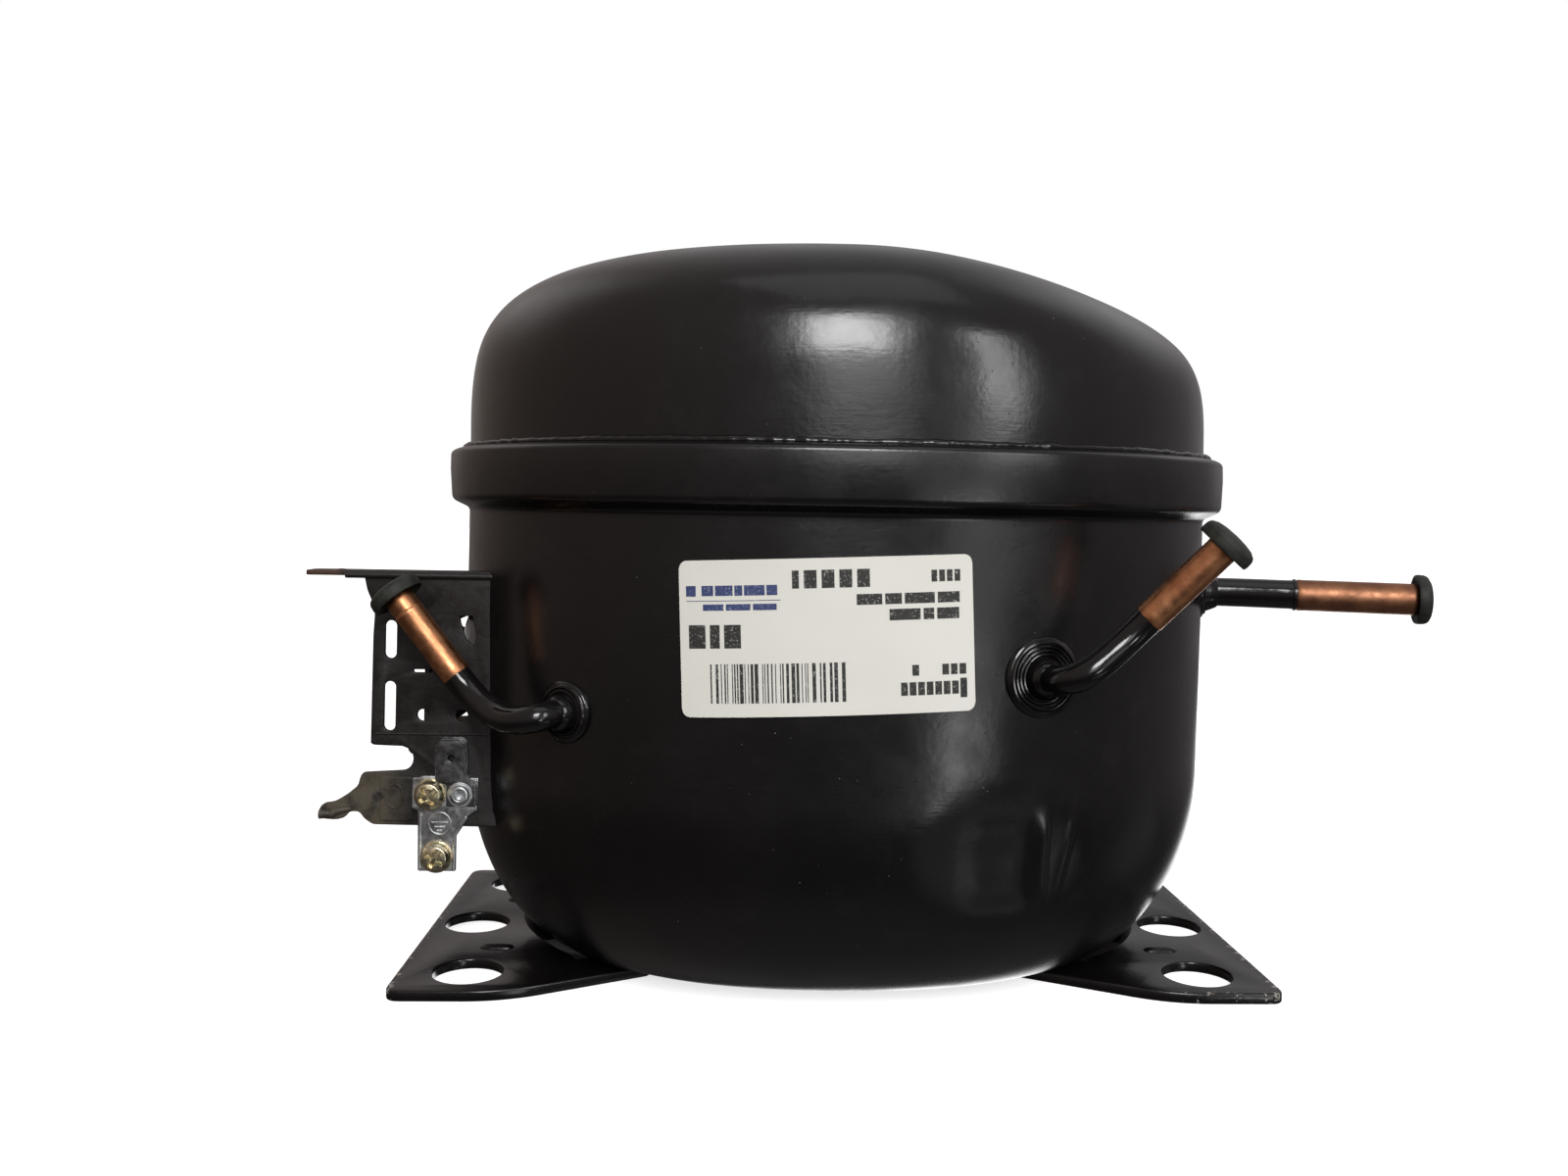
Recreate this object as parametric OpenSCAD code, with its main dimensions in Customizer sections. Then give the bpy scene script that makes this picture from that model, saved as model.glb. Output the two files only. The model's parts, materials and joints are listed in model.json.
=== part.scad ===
// Hermetic reciprocating compressor for a domestic refrigerator.
// Millimetres, +Z up. The origin is the centre of the four mounting holes, on the underside of the feet.
// +X is the suction side, -X the electrical side, -Y the labelled front.

/* [Shell] */
// Half of the body's width along X
body_hw = 92; // [88:0.5:98]
// Half of the body's depth along Y
body_hd = 73.5; // [70:0.5:78]
// Squareness of the plan outline: 2 is an ellipse
plan_n = 2.2; // [2:0.1:2.6]
// Sheet thickness of both shells
shell_t = 3; // [2.6:0.1:3.2]
// Height of the bowl's underside above the feet's underside
bowl_z = 1.5; // [1:0.1:2]
// Height at which the bowl's bottom curve meets its wall
corner_z = 50; // [44:1:56]
// How far the bowl's bottom curve runs in under the body
corner_w = 33; // [28:1:38]
// Height of the rim's lower edge
rim_z = 109; // [106:1:111]
// Height of the rim's top edge
rim_top_z = 123.5; // [121:0.5:127]
// How far the rim stands out from the body wall
rim_out = 4.5; // [3:0.5:5]
// Height of the cap's highest point
cap_top_z = 172.5; // [171:0.5:180]
// How much lower the cap's right shoulder is than its left, as a part of its height
cap_drop = 0.19; // [0:0.01:0.22]

/* [Feet] */
// Hole spacing along X between the two feet
hole_dx = 170; // [160:1:176]
// Hole spacing along Y on each foot
hole_dy = 70; // [64:1:74]
// Diameter of the grommet holes
hole_d = 16; // [12:0.5:17]
// Sheet thickness of the feet
foot_t = 2.5; // [2:0.5:3]
// Distance from the centre to the feet's outer edges
foot_x = 101; // [99:0.5:104]
// Half of each foot's length along Y
foot_hy = 47.5; // [46:0.5:50]

/* [Tubes] */
// Outer diameter of the suction stub
suction_d = 7.5; // [7:0.25:9]
// Outer diameter of the process and discharge stubs
stub_d = 6.35; // [6:0.05:7]
// Wall of the copper stubs
copper_t = 0.75; // [0.6:0.05:1]
// Diameter of the rubber plugs
plug_d = 12; // [11:0.2:14]
// Thickness of the rubber plugs' heads
plug_t = 3; // [2.6:0.1:5]

/* [Terminal bracket] */
// Sheet thickness of the bracket
bracket_t = 1.2; // [1:0.1:1.5]
// Distance from the centre plane to the bracket's side walls
bracket_y = 38; // [34:1:40]
// Height of the bracket's top flange
bracket_top_z = 94.5; // [92:0.1:97]

/* [Pump] */
// Cylinder bore
bore_d = 22; // [20:0.5:24]
// Crank throw, half of the stroke
throw = 6; // [5:0.5:7]
// X position of the crank's axis
crank_x = -6; // [-8:1:-4]
// Height of the cylinder's axis
cyl_z = 130; // [129.5:0.5:132]
// Diameter of the crankshaft's main journal
journal_d = 16; // [14:1:18]
// Diameter of the crankpin
pin_d = 12; // [10:1:13]
// Running clearance between moving pieces, on the radius
run = 0.2; // [0.15:0.05:0.3]

/* [Motor] */
// Side of the stator's square laminations
stator_w = 104; // [98:1:106]
// Height of the stator's lower face
stator_z = 36; // [34:1:38]
// Height of the lamination stack
stator_h = 42; // [38:1:44]
// Outer diameter of the rotor
rotor_d = 56; // [50:1:58]

/* [Hidden] */

// Surface quality: segments round the shell, and facets of true curves
ring_n = 60;
$fn = 48;

paint = "#17181a";
bare_steel = "#8c8f92";
zinc = "#b9bcbc";
copper = "#b5653a";
rubber = "#26241f";
cast = "#5d5f60";

// ---- Plan outline and lofts ------------------------------------------------

// Distance from the centre to the plan outline at an angle, with the outline moved in by an inset
function plan_r(ang, inset) =
    1 / pow(pow(abs(cos(ang)) / (body_hw - inset), plan_n)
        + pow(abs(sin(ang)) / (body_hd - inset), plan_n), 1 / plan_n);
function plan_pt(ang, inset) = let (r = plan_r(ang, inset)) [r * cos(ang), r * sin(ang)];
function plan_outline(inset) = [for (i = [0 : ring_n - 1]) plan_pt(360 * i / ring_n, inset)];
// Outward direction of the body wall above an angle
function wall_dir(ang) =
    let (p = plan_pt(ang, 0),
        gx = sign(p[0]) * pow(abs(p[0]) / body_hw, plan_n - 1) / body_hw,
        gy = sign(p[1]) * pow(abs(p[1]) / body_hd, plan_n - 1) / body_hd)
    [gx, gy, 0] / norm([gx, gy]);

// A closed skin through equal rings, with a pole at each end
module ring_loft(rings, first_pole, last_pole) {
    n = len(rings[0]);
    m = len(rings);
    points = concat([first_pole], [for (ring = rings) for (p = ring) p], [last_pole]);
    faces = concat(
        [for (i = [0 : n - 1]) [0, 1 + i, 1 + (i + 1) % n]],
        [for (k = [0 : m - 2]) for (i = [0 : n - 1])
            let (a = 1 + k * n + i, b = 1 + k * n + (i + 1) % n)
            for (f = [[a, a + n, b + n], [a, b + n, b]]) f],
        [for (i = [0 : n - 1]) [len(points) - 1, 1 + (m - 1) * n + (i + 1) % n, 1 + (m - 1) * n + i]]);
    polyhedron(points, faces);
}

// A closed ring-shaped skin: the last ring joins the first
module torus_loft(rings) {
    n = len(rings[0]);
    m = len(rings);
    points = [for (ring = rings) for (p = ring) p];
    faces = [for (k = [0 : m - 1]) for (i = [0 : n - 1])
        let (a = k * n + i, b = k * n + (i + 1) % n,
            c = ((k + 1) % m) * n + i, d = ((k + 1) % m) * n + (i + 1) % n)
        for (f = [[a, c, d], [a, d, b]]) f];
    polyhedron(points, faces);
}

// Puts a child's Z axis along a direction at a point
module aim(p, d) {
    translate(p) rotate([0, acos(d[2] / norm(d)), atan2(d[1], d[0])]) children();
}

// ---- Swept tubes and wires -------------------------------------------------

function bezier(p, t) = pow(1 - t, 3) * p[0] + 3 * t * pow(1 - t, 2) * p[1]
    + 3 * t * t * (1 - t) * p[2] + pow(t, 3) * p[3];
function bezier_path(p, n) = [for (i = [0 : n]) bezier(p, i / n)];
function unit(v) = v / norm(v);
function tangent(path, i) =
    unit(path[min(i + 1, len(path) - 1)] - path[max(i - 1, 0)]);
// A ring of points about a path's point; up is never along the path
function path_ring(path, i, r, sides, up) =
    let (t = tangent(path, i), a = unit(cross(up, t)), b = cross(t, a))
    [for (k = [0 : sides - 1]) path[i] + r * (cos(360 * k / sides) * a + sin(360 * k / sides) * b)];
module sweep(path, r, sides = 12, up = [0, 0, 1]) {
    last = len(path) - 1;
    ring_loft([for (i = [0 : last]) path_ring(path, i, r, sides, up)], path[0], path[last]);
}
// A tube with a bore, swept along a path
module sweep_tube(path, r, bore_r, sides = 16, up = [0, 0, 1]) {
    last = len(path) - 1;
    torus_loft(concat([for (i = [0 : last]) path_ring(path, i, r, sides, up)],
        [for (i = [last : -1 : 0]) path_ring(path, i, bore_r, sides, up)]));
}

// ---- Shells ----------------------------------------------------------------

// The bowl has one pressed-in scoop low on the front, right of the centre
scoop_ang = 295;
scoop_half_ang = 15;
scoop_z = 34;
scoop_half_z = 27;
scoop_depth = 5;
function bell(x) = abs(x) < 1 ? pow(cos(90 * x), 2) : 0;
function scoop(ang, z) =
    scoop_depth * bell((ang - scoop_ang) / scoop_half_ang) * bell((z - scoop_z) / scoop_half_z);

wall_draft = 0.7;
corner_h = corner_z - bowl_z;
seat_z = 112;
seat_gap = 0.2;
// Bowl sections as [inset, height], from the bottom outside to the rim, then down the inside
bowl_outside = concat(
    [for (t = [0 : 15 : 90]) [wall_draft + corner_w * (1 - sin(t)), bowl_z + corner_h * (1 - cos(t))]],
    [[0, 85], [0, rim_z - 1], [-0.35 * rim_out, rim_z + 0.2], [-0.85 * rim_out, rim_z + 1.6],
        [-rim_out, rim_z + 3.5], [-rim_out, rim_top_z - 2.4], [-0.8 * rim_out, rim_top_z - 0.6],
        [-0.6 * rim_out, rim_top_z]]);
bowl_inside = concat(
    [[-seat_gap, rim_top_z], [-seat_gap, seat_z], [shell_t, seat_z], [shell_t, 85]],
    [for (t = [90 : -18 : 0]) [wall_draft + shell_t + (corner_w - shell_t / 2) * (1 - sin(t)),
        bowl_z + shell_t + (corner_h - shell_t) * (1 - cos(t))]]);
function bowl_ring(section) = [for (i = [0 : ring_n - 1]) let (ang = 360 * i / ring_n)
    concat(plan_pt(ang, section[0] + scoop(ang, section[1])), section[1])];
// The inside ring takes the scoop of the height just outside it
function bowl_inner_ring(section) = [for (i = [0 : ring_n - 1]) let (ang = 360 * i / ring_n)
    concat(plan_pt(ang, section[0] + scoop(ang, section[1] - shell_t / 2)), section[1])];

// Cap: a flat-topped dome whose right shoulder falls away
cap_wall_z = 122;
function cap_drop_at(ang, rho) =
    let (x = rho * plan_r(ang, 0) * cos(ang) / body_hw) x > 0 ? cap_drop * pow(sin(90 * x), 2) : 0;
function cap_ring(tau, inset) = let (w = sin(tau), rho = pow(1 - pow(w, 4.2), 1 / 3.3),
    h = cap_top_z - cap_wall_z - inset)
    [for (i = [0 : ring_n - 1]) let (ang = 360 * i / ring_n)
        concat(rho * plan_pt(ang, inset), cap_wall_z + h * w * (1 - cap_drop_at(ang, rho)))];
cap_taus = [0, 11, 22, 32, 41, 50, 58, 66, 73, 79, 84, 87.5];
cap_inner_taus = [0, 15, 29, 42, 54, 65, 75, 83, 87.5];
function flat_ring(inset, z) = [for (p = plan_outline(inset)) concat(p, z)];

// Tube entries: point on the wall, outward direction
suction_ang = -12.4;
suction_z = 91.5;
process_ang = -60;
process_z = 76;
discharge_ang = 223.7;
discharge_z = 66;
terminal_z = 70;
function wall_pt(ang, z) = concat(plan_pt(ang, 0), z);
suction_p = wall_pt(suction_ang, suction_z);
process_p = wall_pt(process_ang, process_z);
discharge_p = wall_pt(discharge_ang, discharge_z);
terminal_p = wall_pt(180, terminal_z);

fitting_d = 11;
fitting_seat_d = 17;
terminal_d = 26;
// The hole and the shallow seat that a tube fitting takes in the wall
module fitting_cut(p, ang) {
    aim(p, wall_dir(ang)) {
        translate([0, 0, -12]) cylinder(d = fitting_d, h = 24);
        translate([0, 0, -0.8]) cylinder(d = fitting_seat_d, h = 12);
    }
}

module lower_shell() {
    color(paint) difference() {
        ring_loft(concat([for (s = bowl_outside) bowl_ring(s)], [for (s = bowl_inside) bowl_inner_ring(s)]),
            [0, 0, bowl_z], [0, 0, bowl_z + shell_t]);
        fitting_cut(suction_p, suction_ang);
        fitting_cut(process_p, process_ang);
        fitting_cut(discharge_p, discharge_ang);
        translate(terminal_p) rotate([0, 90, 0]) cylinder(d = terminal_d, h = 24, center = true);
    }
}

module upper_shell() {
    color(paint) ring_loft(concat(
        [for (k = [len(cap_inner_taus) - 1 : -1 : 0]) cap_ring(cap_inner_taus[k], shell_t)],
        [flat_ring(shell_t, seat_z + 0.1), flat_ring(0, seat_z + 0.1)],
        [for (tau = cap_taus) cap_ring(tau, 0)]),
        [0, 0, cap_top_z - shell_t], [0, 0, cap_top_z]);
}

// Fillet bead in the corner between the rim's top and the cap's wall
module seam_weld() {
    bead = [[0, rim_top_z], [-1.8, rim_top_z], [-1.5, rim_top_z + 1], [-0.7, rim_top_z + 1.9],
        [0, rim_top_z + 2]];
    color(paint) torus_loft([for (b = bead) flat_ring(b[0], b[1])]);
}

// ---- Feet ------------------------------------------------------------------

foot_inner_x = 43;
foot_inner_cut = 16.5;
middle_hole_x = 90;
function bowl_inset_at(z) = let (c = 1 - (z - bowl_z) / corner_h)
    wall_draft + corner_w * (1 - sqrt(1 - c * c));
// The saddle lies on the bowl, from the foot's plate up to one of the bowl's own rings
saddle_sections = [[bowl_outside[1][0], 1], bowl_outside[1], bowl_outside[2]];
saddle_steps = 8;
function saddle_line(mid_ang, section, out) = [for (i = [0 : saddle_steps])
    let (ang = mid_ang + 360 / ring_n * (i - saddle_steps / 2))
    concat(plan_pt(ang, section[0] - out), section[1])];
module saddle(mid_ang) {
    outer = [for (section = saddle_sections) saddle_line(mid_ang, section, foot_t)];
    inner = [for (k = [2, 1, 0]) saddle_line(mid_ang, saddle_sections[k], 0)];
    lines = concat(outer, inner);
    n = saddle_steps + 1;
    m = len(lines);
    points = [for (line = lines) for (p = line) p];
    skin = [for (k = [0 : m - 1]) for (i = [0 : n - 2])
        let (a = k * n + i, c = ((k + 1) % m) * n + i)
        for (f = [[a, c, a + 1], [c, c + 1, a + 1]]) f];
    ends = [[for (k = [m - 1 : -1 : 0]) k * n], [for (k = [0 : m - 1]) k * n + n - 1]];
    polyhedron(points, concat(skin, ends));
}
// The right foot's plate; the left one is its mirror image
module foot_plate() {
    r = 3;
    difference() {
        linear_extrude(foot_t) difference() {
            offset(r = r) offset(delta = -r) polygon([
                [foot_x, -foot_hy], [75, -foot_hy], [foot_inner_x, -foot_hy + foot_inner_cut],
                [foot_inner_x, foot_hy - foot_inner_cut], [75, foot_hy], [foot_x, foot_hy]]);
            polygon(plan_outline(bowl_inset_at(foot_t) - 0.8));
        }
        for (y = [-1, 1]) translate([hole_dx / 2, y * hole_dy / 2, -1]) cylinder(d = hole_d, h = foot_t + 2);
        translate([middle_hole_x, 0, -1]) cylinder(d = hole_d, h = foot_t + 2);
    }
}
// Pressed stiffening bead between the front and middle holes
module foot_rib(y) {
    translate([81, y, foot_t - 0.6]) rotate([0, 90, 0]) {
        cylinder(d = 3.4, h = 7, center = true);
        for (z = [-3.5, 3.5]) translate([0, 0, z]) sphere(d = 3.4);
    }
}
module foot_blank() {
    foot_plate();
    for (y = [-1, 1]) foot_rib(19 * y);
}
module right_foot() {
    color(paint) {
        foot_blank();
        saddle(0);
    }
}
module left_foot() {
    color(paint) {
        mirror([1, 0, 0]) foot_blank();
        saddle(180);
    }
}

// ---- Tube fittings, tubes, copper stubs and plugs ---------------------------

// A weld-in collar with turned rings, its Z axis along the tube
module fitting(tube_r) {
    difference() {
        union() {
            translate([0, 0, -shell_t - 1.5]) cylinder(d = fitting_d - 0.1, h = shell_t + 2);
            translate([0, 0, -0.8]) cylinder(d = fitting_seat_d - 0.1, h = 1.6);
            cylinder(d = 14, h = 1.4);
            cylinder(d = 11, h = 2);
            translate([0, 0, 1.9]) cylinder(d1 = 11, d2 = 2 * tube_r + 1.2, h = 1.6);
        }
        translate([0, 0, -8]) cylinder(r = tube_r, h = 16);
    }
}
steel_r = 3;
suction_steel_r = suction_d / 2 - 0.2;
module suction_fitting() { color(paint) aim(suction_p, wall_dir(suction_ang)) fitting(suction_steel_r); }
module process_fitting() { color(paint) aim(process_p, wall_dir(process_ang)) fitting(steel_r); }
module discharge_fitting() { color(paint) aim(discharge_p, wall_dir(discharge_ang)) fitting(steel_r); }

// Ends of each straight copper stub: the brazed end, the plugged end
suction_stub_ends = [[110.8, -26.2, 91.4], [136.7, -34, 91.2]];
process_stub_ends = [[58.4, -77, 89], [71.9, -82, 104]];
discharge_stub_ends = [[-84.7, -53, 72.7], [-98.3, -51, 89.5]];
lap = 5;

// Route from a wall fitting to a stub: straight out, one bend, straight in
function tube_route(p, dir, stub, out, in) =
    let (d = unit(stub[1] - stub[0]), start = p - (shell_t + 1) * dir, end = stub[0] + lap * d)
    concat([start], bezier_path([p + 2 * dir, p + out * dir, stub[0] - in * d, stub[0]], 12), [end]);
module suction_tube() {
    dir = wall_dir(suction_ang);
    color(paint) sweep_tube(tube_route(suction_p, dir, suction_stub_ends, 12, 8), suction_steel_r, 2.6);
}
module process_tube() {
    color(paint) sweep_tube(tube_route(process_p, wall_dir(process_ang), process_stub_ends, 16, 12), steel_r, 2);
}
module discharge_tube() {
    color(paint) sweep_tube(tube_route(discharge_p, wall_dir(discharge_ang), discharge_stub_ends, 14, 16), steel_r, 2);
}

// A copper stub: slipped over the steel tube at one end, open at the other, with a rolled stop ring
module stub(ends, d, steel) {
    len = norm(ends[1] - ends[0]);
    bore = d / 2 - copper_t;
    aim(ends[0], ends[1] - ends[0]) difference() {
        cylinder(d = d, h = len);
        translate([0, 0, -1]) cylinder(r = steel + 0.02, h = lap + 1.2);
        translate([0, 0, -1]) cylinder(r = bore, h = len + 2);
    }
}
module suction_stub() { color(copper) stub(suction_stub_ends, suction_d, suction_steel_r); }
module process_stub() { color(copper) stub(process_stub_ends, stub_d, steel_r); }
module discharge_stub() { color(copper) stub(discharge_stub_ends, stub_d, steel_r); }

// Rubber transport plug: a stem in the stub and a thick round head
plug_gap = 0.15;
plug_stem = 8;
module plug(ends, d) {
    dir = unit(ends[1] - ends[0]);
    stem_r = d / 2 - copper_t - run;
    aim(ends[1], dir) rotate_extrude() polygon([
        [0, -plug_stem], [stem_r - 0.8, -plug_stem], [stem_r, -plug_stem + 1.2], [stem_r, plug_gap],
        [plug_d / 2 - 0.6, plug_gap], [plug_d / 2, plug_gap + 0.6], [plug_d / 2 - 0.4, plug_gap + plug_t - 0.8],
        [plug_d / 2 - 1.2, plug_gap + plug_t], [0, plug_gap + plug_t]]);
}
module suction_plug() { color(rubber) plug(suction_stub_ends, suction_d); }
module process_plug() { color(rubber) plug(process_stub_ends, stub_d); }
module discharge_plug() { color(rubber) plug(discharge_stub_ends, stub_d); }

// ---- Terminal and its bracket ------------------------------------------------

// Side wall in the X-Z plane, seen from the front; its inner edge is cut to the shell
wall_x = -106.8;
side_outline = [
    [wall_x - 2.5, bracket_top_z], [wall_x - 1.3, 89], [wall_x, 85], [wall_x, 55], [wall_x + 6.9, 55],
    for (t = [90 : -30 : -90]) [wall_x + 6.9 + 2.6 * cos(t), 52 + 2.6 * sin(t)],
    [wall_x - 1.5, 49], [wall_x - 2.3, 46], [wall_x - 8, 42.2], [wall_x - 10.6, 41.6],
    [wall_x - 11.4, 39.8], [wall_x - 10.6, 38.2], [wall_x - 5, 38.4], [wall_x - 3.8, 39.8],
    [wall_x - 1.8, 39.8], [wall_x + 1, 37], [-75, 36.6], [-75, bracket_top_z]];
// A slot with round ends through a wall in the X-Z plane
module slot(x, z, w, h) {
    d = min(w, h);
    translate([x, 0, z]) rotate([90, 0, 0]) linear_extrude(4, center = true) {
        square([w > h ? w - d : w, h > w ? h - d : h], center = true);
        for (k = [-1, 1]) translate([k * (w - d) / 2, k * (h - d) / 2]) circle(d = d);
    }
}
// One side wall with its slots and holes, at Y = 0
module side_wall() {
    difference() {
        rotate([90, 0, 0]) linear_extrude(bracket_t, center = true) polygon(side_outline);
        slot(wall_x + 4, 79, 2.6, 8.6);
        slot(wall_x + 4, 63.9, 2.6, 11.2);
        slot(-95.5, 71.9, 4.6, 1.3);
        slot(-85.5, 80, 2.4, 5);
        for (x = [-95.3, -86.6]) translate([x, 0, 61.9]) rotate([90, 0, 0])
            cylinder(d = 2.5, h = 4, center = true);
        translate([-93.2, 0, 44.2]) rotate([90, 0, 0]) cylinder(d = 3.5, h = 4, center = true);
    }
}
// The front wall ends in a flange at the top; the rear wall is lower and plain
flange_w = 7;
flange_x = -122.1;
rear_top_z = bracket_top_z - 3.6;
base_x = -95.4;
module terminal_bracket() {
    color(paint) difference() {
        union() {
            for (s = [-1, 1]) translate([0, s * (bracket_y + bracket_t / 2), 0]) side_wall();
            translate([flange_x, -bracket_y - bracket_t, bracket_top_z - bracket_t]) cube([45, flange_w, bracket_t]);
            translate([base_x, -bracket_y - bracket_t / 2, 56])
                cube([bracket_t, 2 * bracket_y + bracket_t, rear_top_z - 56.5]);
        }
        translate([0, 0, 20]) linear_extrude(90) polygon(plan_outline(0));
        translate([base_x - 1.1, -21, terminal_z - 11]) cube([4, 42, 22]);
        translate([-130, bracket_y - 1, rear_top_z]) cube([60, bracket_t + 2, 10]);
    }
}

pin_ring_r = 5.5;
module terminal_spots() {
    for (a = [90, 210, 330]) translate(terminal_p) rotate([a, 0, 0]) translate([0, 0, pin_ring_r])
        rotate([0, -90, 0]) children();
}
module terminal_body() {
    color(bare_steel) difference() {
        translate(terminal_p) rotate([0, -90, 0]) rotate_extrude() polygon([
            [0, -1], [11.4, -1], [11.4, -7], [terminal_d / 2 - 0.05, -7], [terminal_d / 2 - 0.05, 0.2],
            [terminal_d / 2 - 0.6, 0.8], [0, 0.8]]);
        terminal_spots() cylinder(d = 5, h = 10, center = true);
    }
}
// Each pin is thinner where it passes through its glass bead
stem_d = 1.6;
bead_h = 1.2;
module terminal_glass() {
    color("#7a8f8a") terminal_spots() difference() {
        translate([0, 0, -1]) cylinder(d = 4.95, h = 1 + bead_h);
        cylinder(d = stem_d + 0.05, h = 10, center = true);
    }
}
module terminal_pins() {
    color(bare_steel) terminal_spots() {
        translate([0, 0, -12]) cylinder(d = stem_d, h = 14);
        translate([0, 0, bead_h + 0.5]) cylinder(d = 2.25, h = 7.3);
    }
}

// ---- Earth terminal ----------------------------------------------------------

earth_y = -bracket_y - bracket_t;
earth_t = 0.8;
earth_screw_at = [[-93.2, 44.2], [-91.5, 30.1]];
eyelet_at = [-86.3, 44.3];
module xz_sheet(y, t, pts) {
    translate([0, y, 0]) rotate([90, 0, 0]) linear_extrude(t) polygon(pts);
}
module y_hole(at, d) {
    translate([at[0], 0, at[1]]) rotate([90, 0, 0]) cylinder(d = d, h = 100);
}
module earth_plate() {
    color(zinc) difference() {
        union() {
            xz_sheet(earth_y - 0.05, earth_t, [[-97.2, 48.2], [-97.2, 41.4], [-95.7, 40.6], [-95.7, 26.8],
                [-87.2, 26.8], [-87.2, 35], [-82.6, 40.8], [-82.4, 48.2]]);
            // Embossed ring with two plain bars
            translate([-90.9, earth_y - earth_t, 37.6]) rotate([90, 0, 0]) difference() {
                cylinder(d = 5.4, h = 0.3);
                translate([0, 0, -1]) cylinder(d = 4.5, h = 2);
            }
            for (z = [36.6, 38.6]) translate([-90.9, earth_y - earth_t - 0.15, z])
                cube([3, 0.4, 0.5], center = true);
        }
        for (at = earth_screw_at) y_hole(at, 3.5);
        y_hole(eyelet_at, 3.3);
    }
}
module earth_tab() {
    y = earth_y - earth_t - 0.1;
    color(zinc) difference() {
        xz_sheet(y, earth_t, [[-91.7, 47.6], [-91.7, 56], [-90.9, 56.8], [-86.3, 56.8], [-85.5, 56],
            [-85.5, 47.6], [-82.9, 46.5], [-82.9, 41.6], [-89.4, 41.6], [-89.4, 46.5]]);
        y_hole(eyelet_at, 3.3);
        y_hole([-88.5, 52.5], 1.4);
    }
}
module earth_eyelet() {
    color(zinc) translate([eyelet_at[0], earth_y + 0.2, eyelet_at[1]]) rotate([90, 0, 0]) rotate_extrude() polygon([
        [1, 0.25], [1.6, 0.25], [1.6, 1.96], [2.8, 1.96], [2.8, 2.3], [2.2, 2.9], [1, 2.9]]);
}
// Pan-head screws with washers under their heads
module earth_screws() {
    color("#b7a25a") for (k = [0, 1]) translate([earth_screw_at[k][0], earth_y - earth_t - 0.1, earth_screw_at[k][1]])
        rotate([90, 0, 0]) difference() {
            union() {
                translate([0, 0, -4]) cylinder(d = 3.4, h = 5);
                cylinder(d = 7.2, h = 0.6);
                translate([0, 0, 0.5]) cylinder(d1 = 6.4, d2 = 4.8, h = 2);
            }
            for (a = [45, 135]) rotate([0, 0, a]) translate([-1.9, -0.45, 1.4]) cube([3.8, 0.9, 2]);
        }
}

// ---- Label ---------------------------------------------------------------------

// A thin sheet that follows the front wall, stuck on with a slight tilt
label_w = 60;
label_h = 32;
label_x = -6;
label_z = 84.3;
label_tilt = 2.4;
label_t = 0.25;
label_gap = 0.3;
label_n = 14;
function wall_y(x, out) = -(body_hd + out) * pow(1 - pow(abs(x) / (body_hw + out), plan_n), 1 / plan_n);
function label_line(out) = [for (i = [0 : label_n])
    let (x = label_x + (label_w + 6) * (i / label_n - 0.5)) [x, wall_y(x, out)]];
module rating_label() {
    far_side = label_line(label_gap);
    color("#e9e9e6") intersection() {
        translate([0, 0, label_z - label_h]) linear_extrude(2 * label_h) polygon(concat(
            label_line(label_gap + label_t), [for (i = [label_n : -1 : 0]) far_side[i]]));
        translate([label_x, -body_hd, label_z]) rotate([0, -label_tilt, 0])
            cube([label_w, 40, label_h], center = true);
    }
}

// ---- Motor -----------------------------------------------------------------------

stator_top = stator_z + stator_h;
stator_bore = rotor_d + 1;
bolt_at = 43;
module crank_axis() { translate([crank_x, 0, 0]) children(); }
module at_bolts() {
    for (x = [-1, 1], y = [-1, 1]) crank_axis() translate([x * bolt_at, y * bolt_at, 0]) children();
}
module stator_core() {
    slots = 24;
    color(bare_steel) difference() {
        crank_axis() translate([0, 0, stator_z]) linear_extrude(stator_h) difference() {
            intersection() {
                square(stator_w, center = true);
                rotate(45) square(stator_w * 1.3, center = true);
            }
            circle(d = stator_bore);
            for (k = [0 : slots - 1]) rotate(360 * k / slots) translate([stator_bore / 2 + 8.5, 0])
                square([13, 3.6], center = true);
        }
        at_bolts() translate([0, 0, stator_z - 1]) cylinder(d = 5.4, h = stator_h + 2);
    }
}
// End turns bulge out of the stator's slots; the lower ones carry the slot legs
winding_h = 13;
module end_turns() {
    rotate_extrude() translate([stator_bore / 2 + 9.5, 0]) scale([0.62, 1]) difference() {
        circle(d = 2 * winding_h);
        translate([-20, -40]) square([40, 40]);
    }
}
module upper_winding() {
    color("#9c4f22") crank_axis() translate([0, 0, stator_top + 0.3]) end_turns();
}
module lower_winding() {
    slots = 24;
    color("#9c4f22") crank_axis() {
        translate([0, 0, stator_z - 0.3]) mirror([0, 0, 1]) end_turns();
        for (k = [0 : slots - 1]) rotate(360 * k / slots) translate([stator_bore / 2 + 3.5, -1.5, stator_z - 0.4])
            cube([10, 3, stator_h + 0.5]);
    }
}
module stator_bolts() {
    color(bare_steel) at_bolts() {
        translate([0, 0, stator_z - 4]) cylinder(d = 9, h = 4, $fn = 6);
        translate([0, 0, stator_z - 1]) cylinder(d = 5, h = stator_h + 26);
    }
}
rotor_h = stator_h + 1;
rotor_z = stator_z - 0.5;
module rotor_core() {
    color(bare_steel) crank_axis() translate([0, 0, rotor_z]) difference() {
        cylinder(d = rotor_d, h = rotor_h);
        translate([0, 0, -1]) cylinder(d = journal_d, h = rotor_h + 2);
        translate([0, 0, rotor_h - 14]) cylinder(d = 34, h = 15);
    }
}
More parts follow.
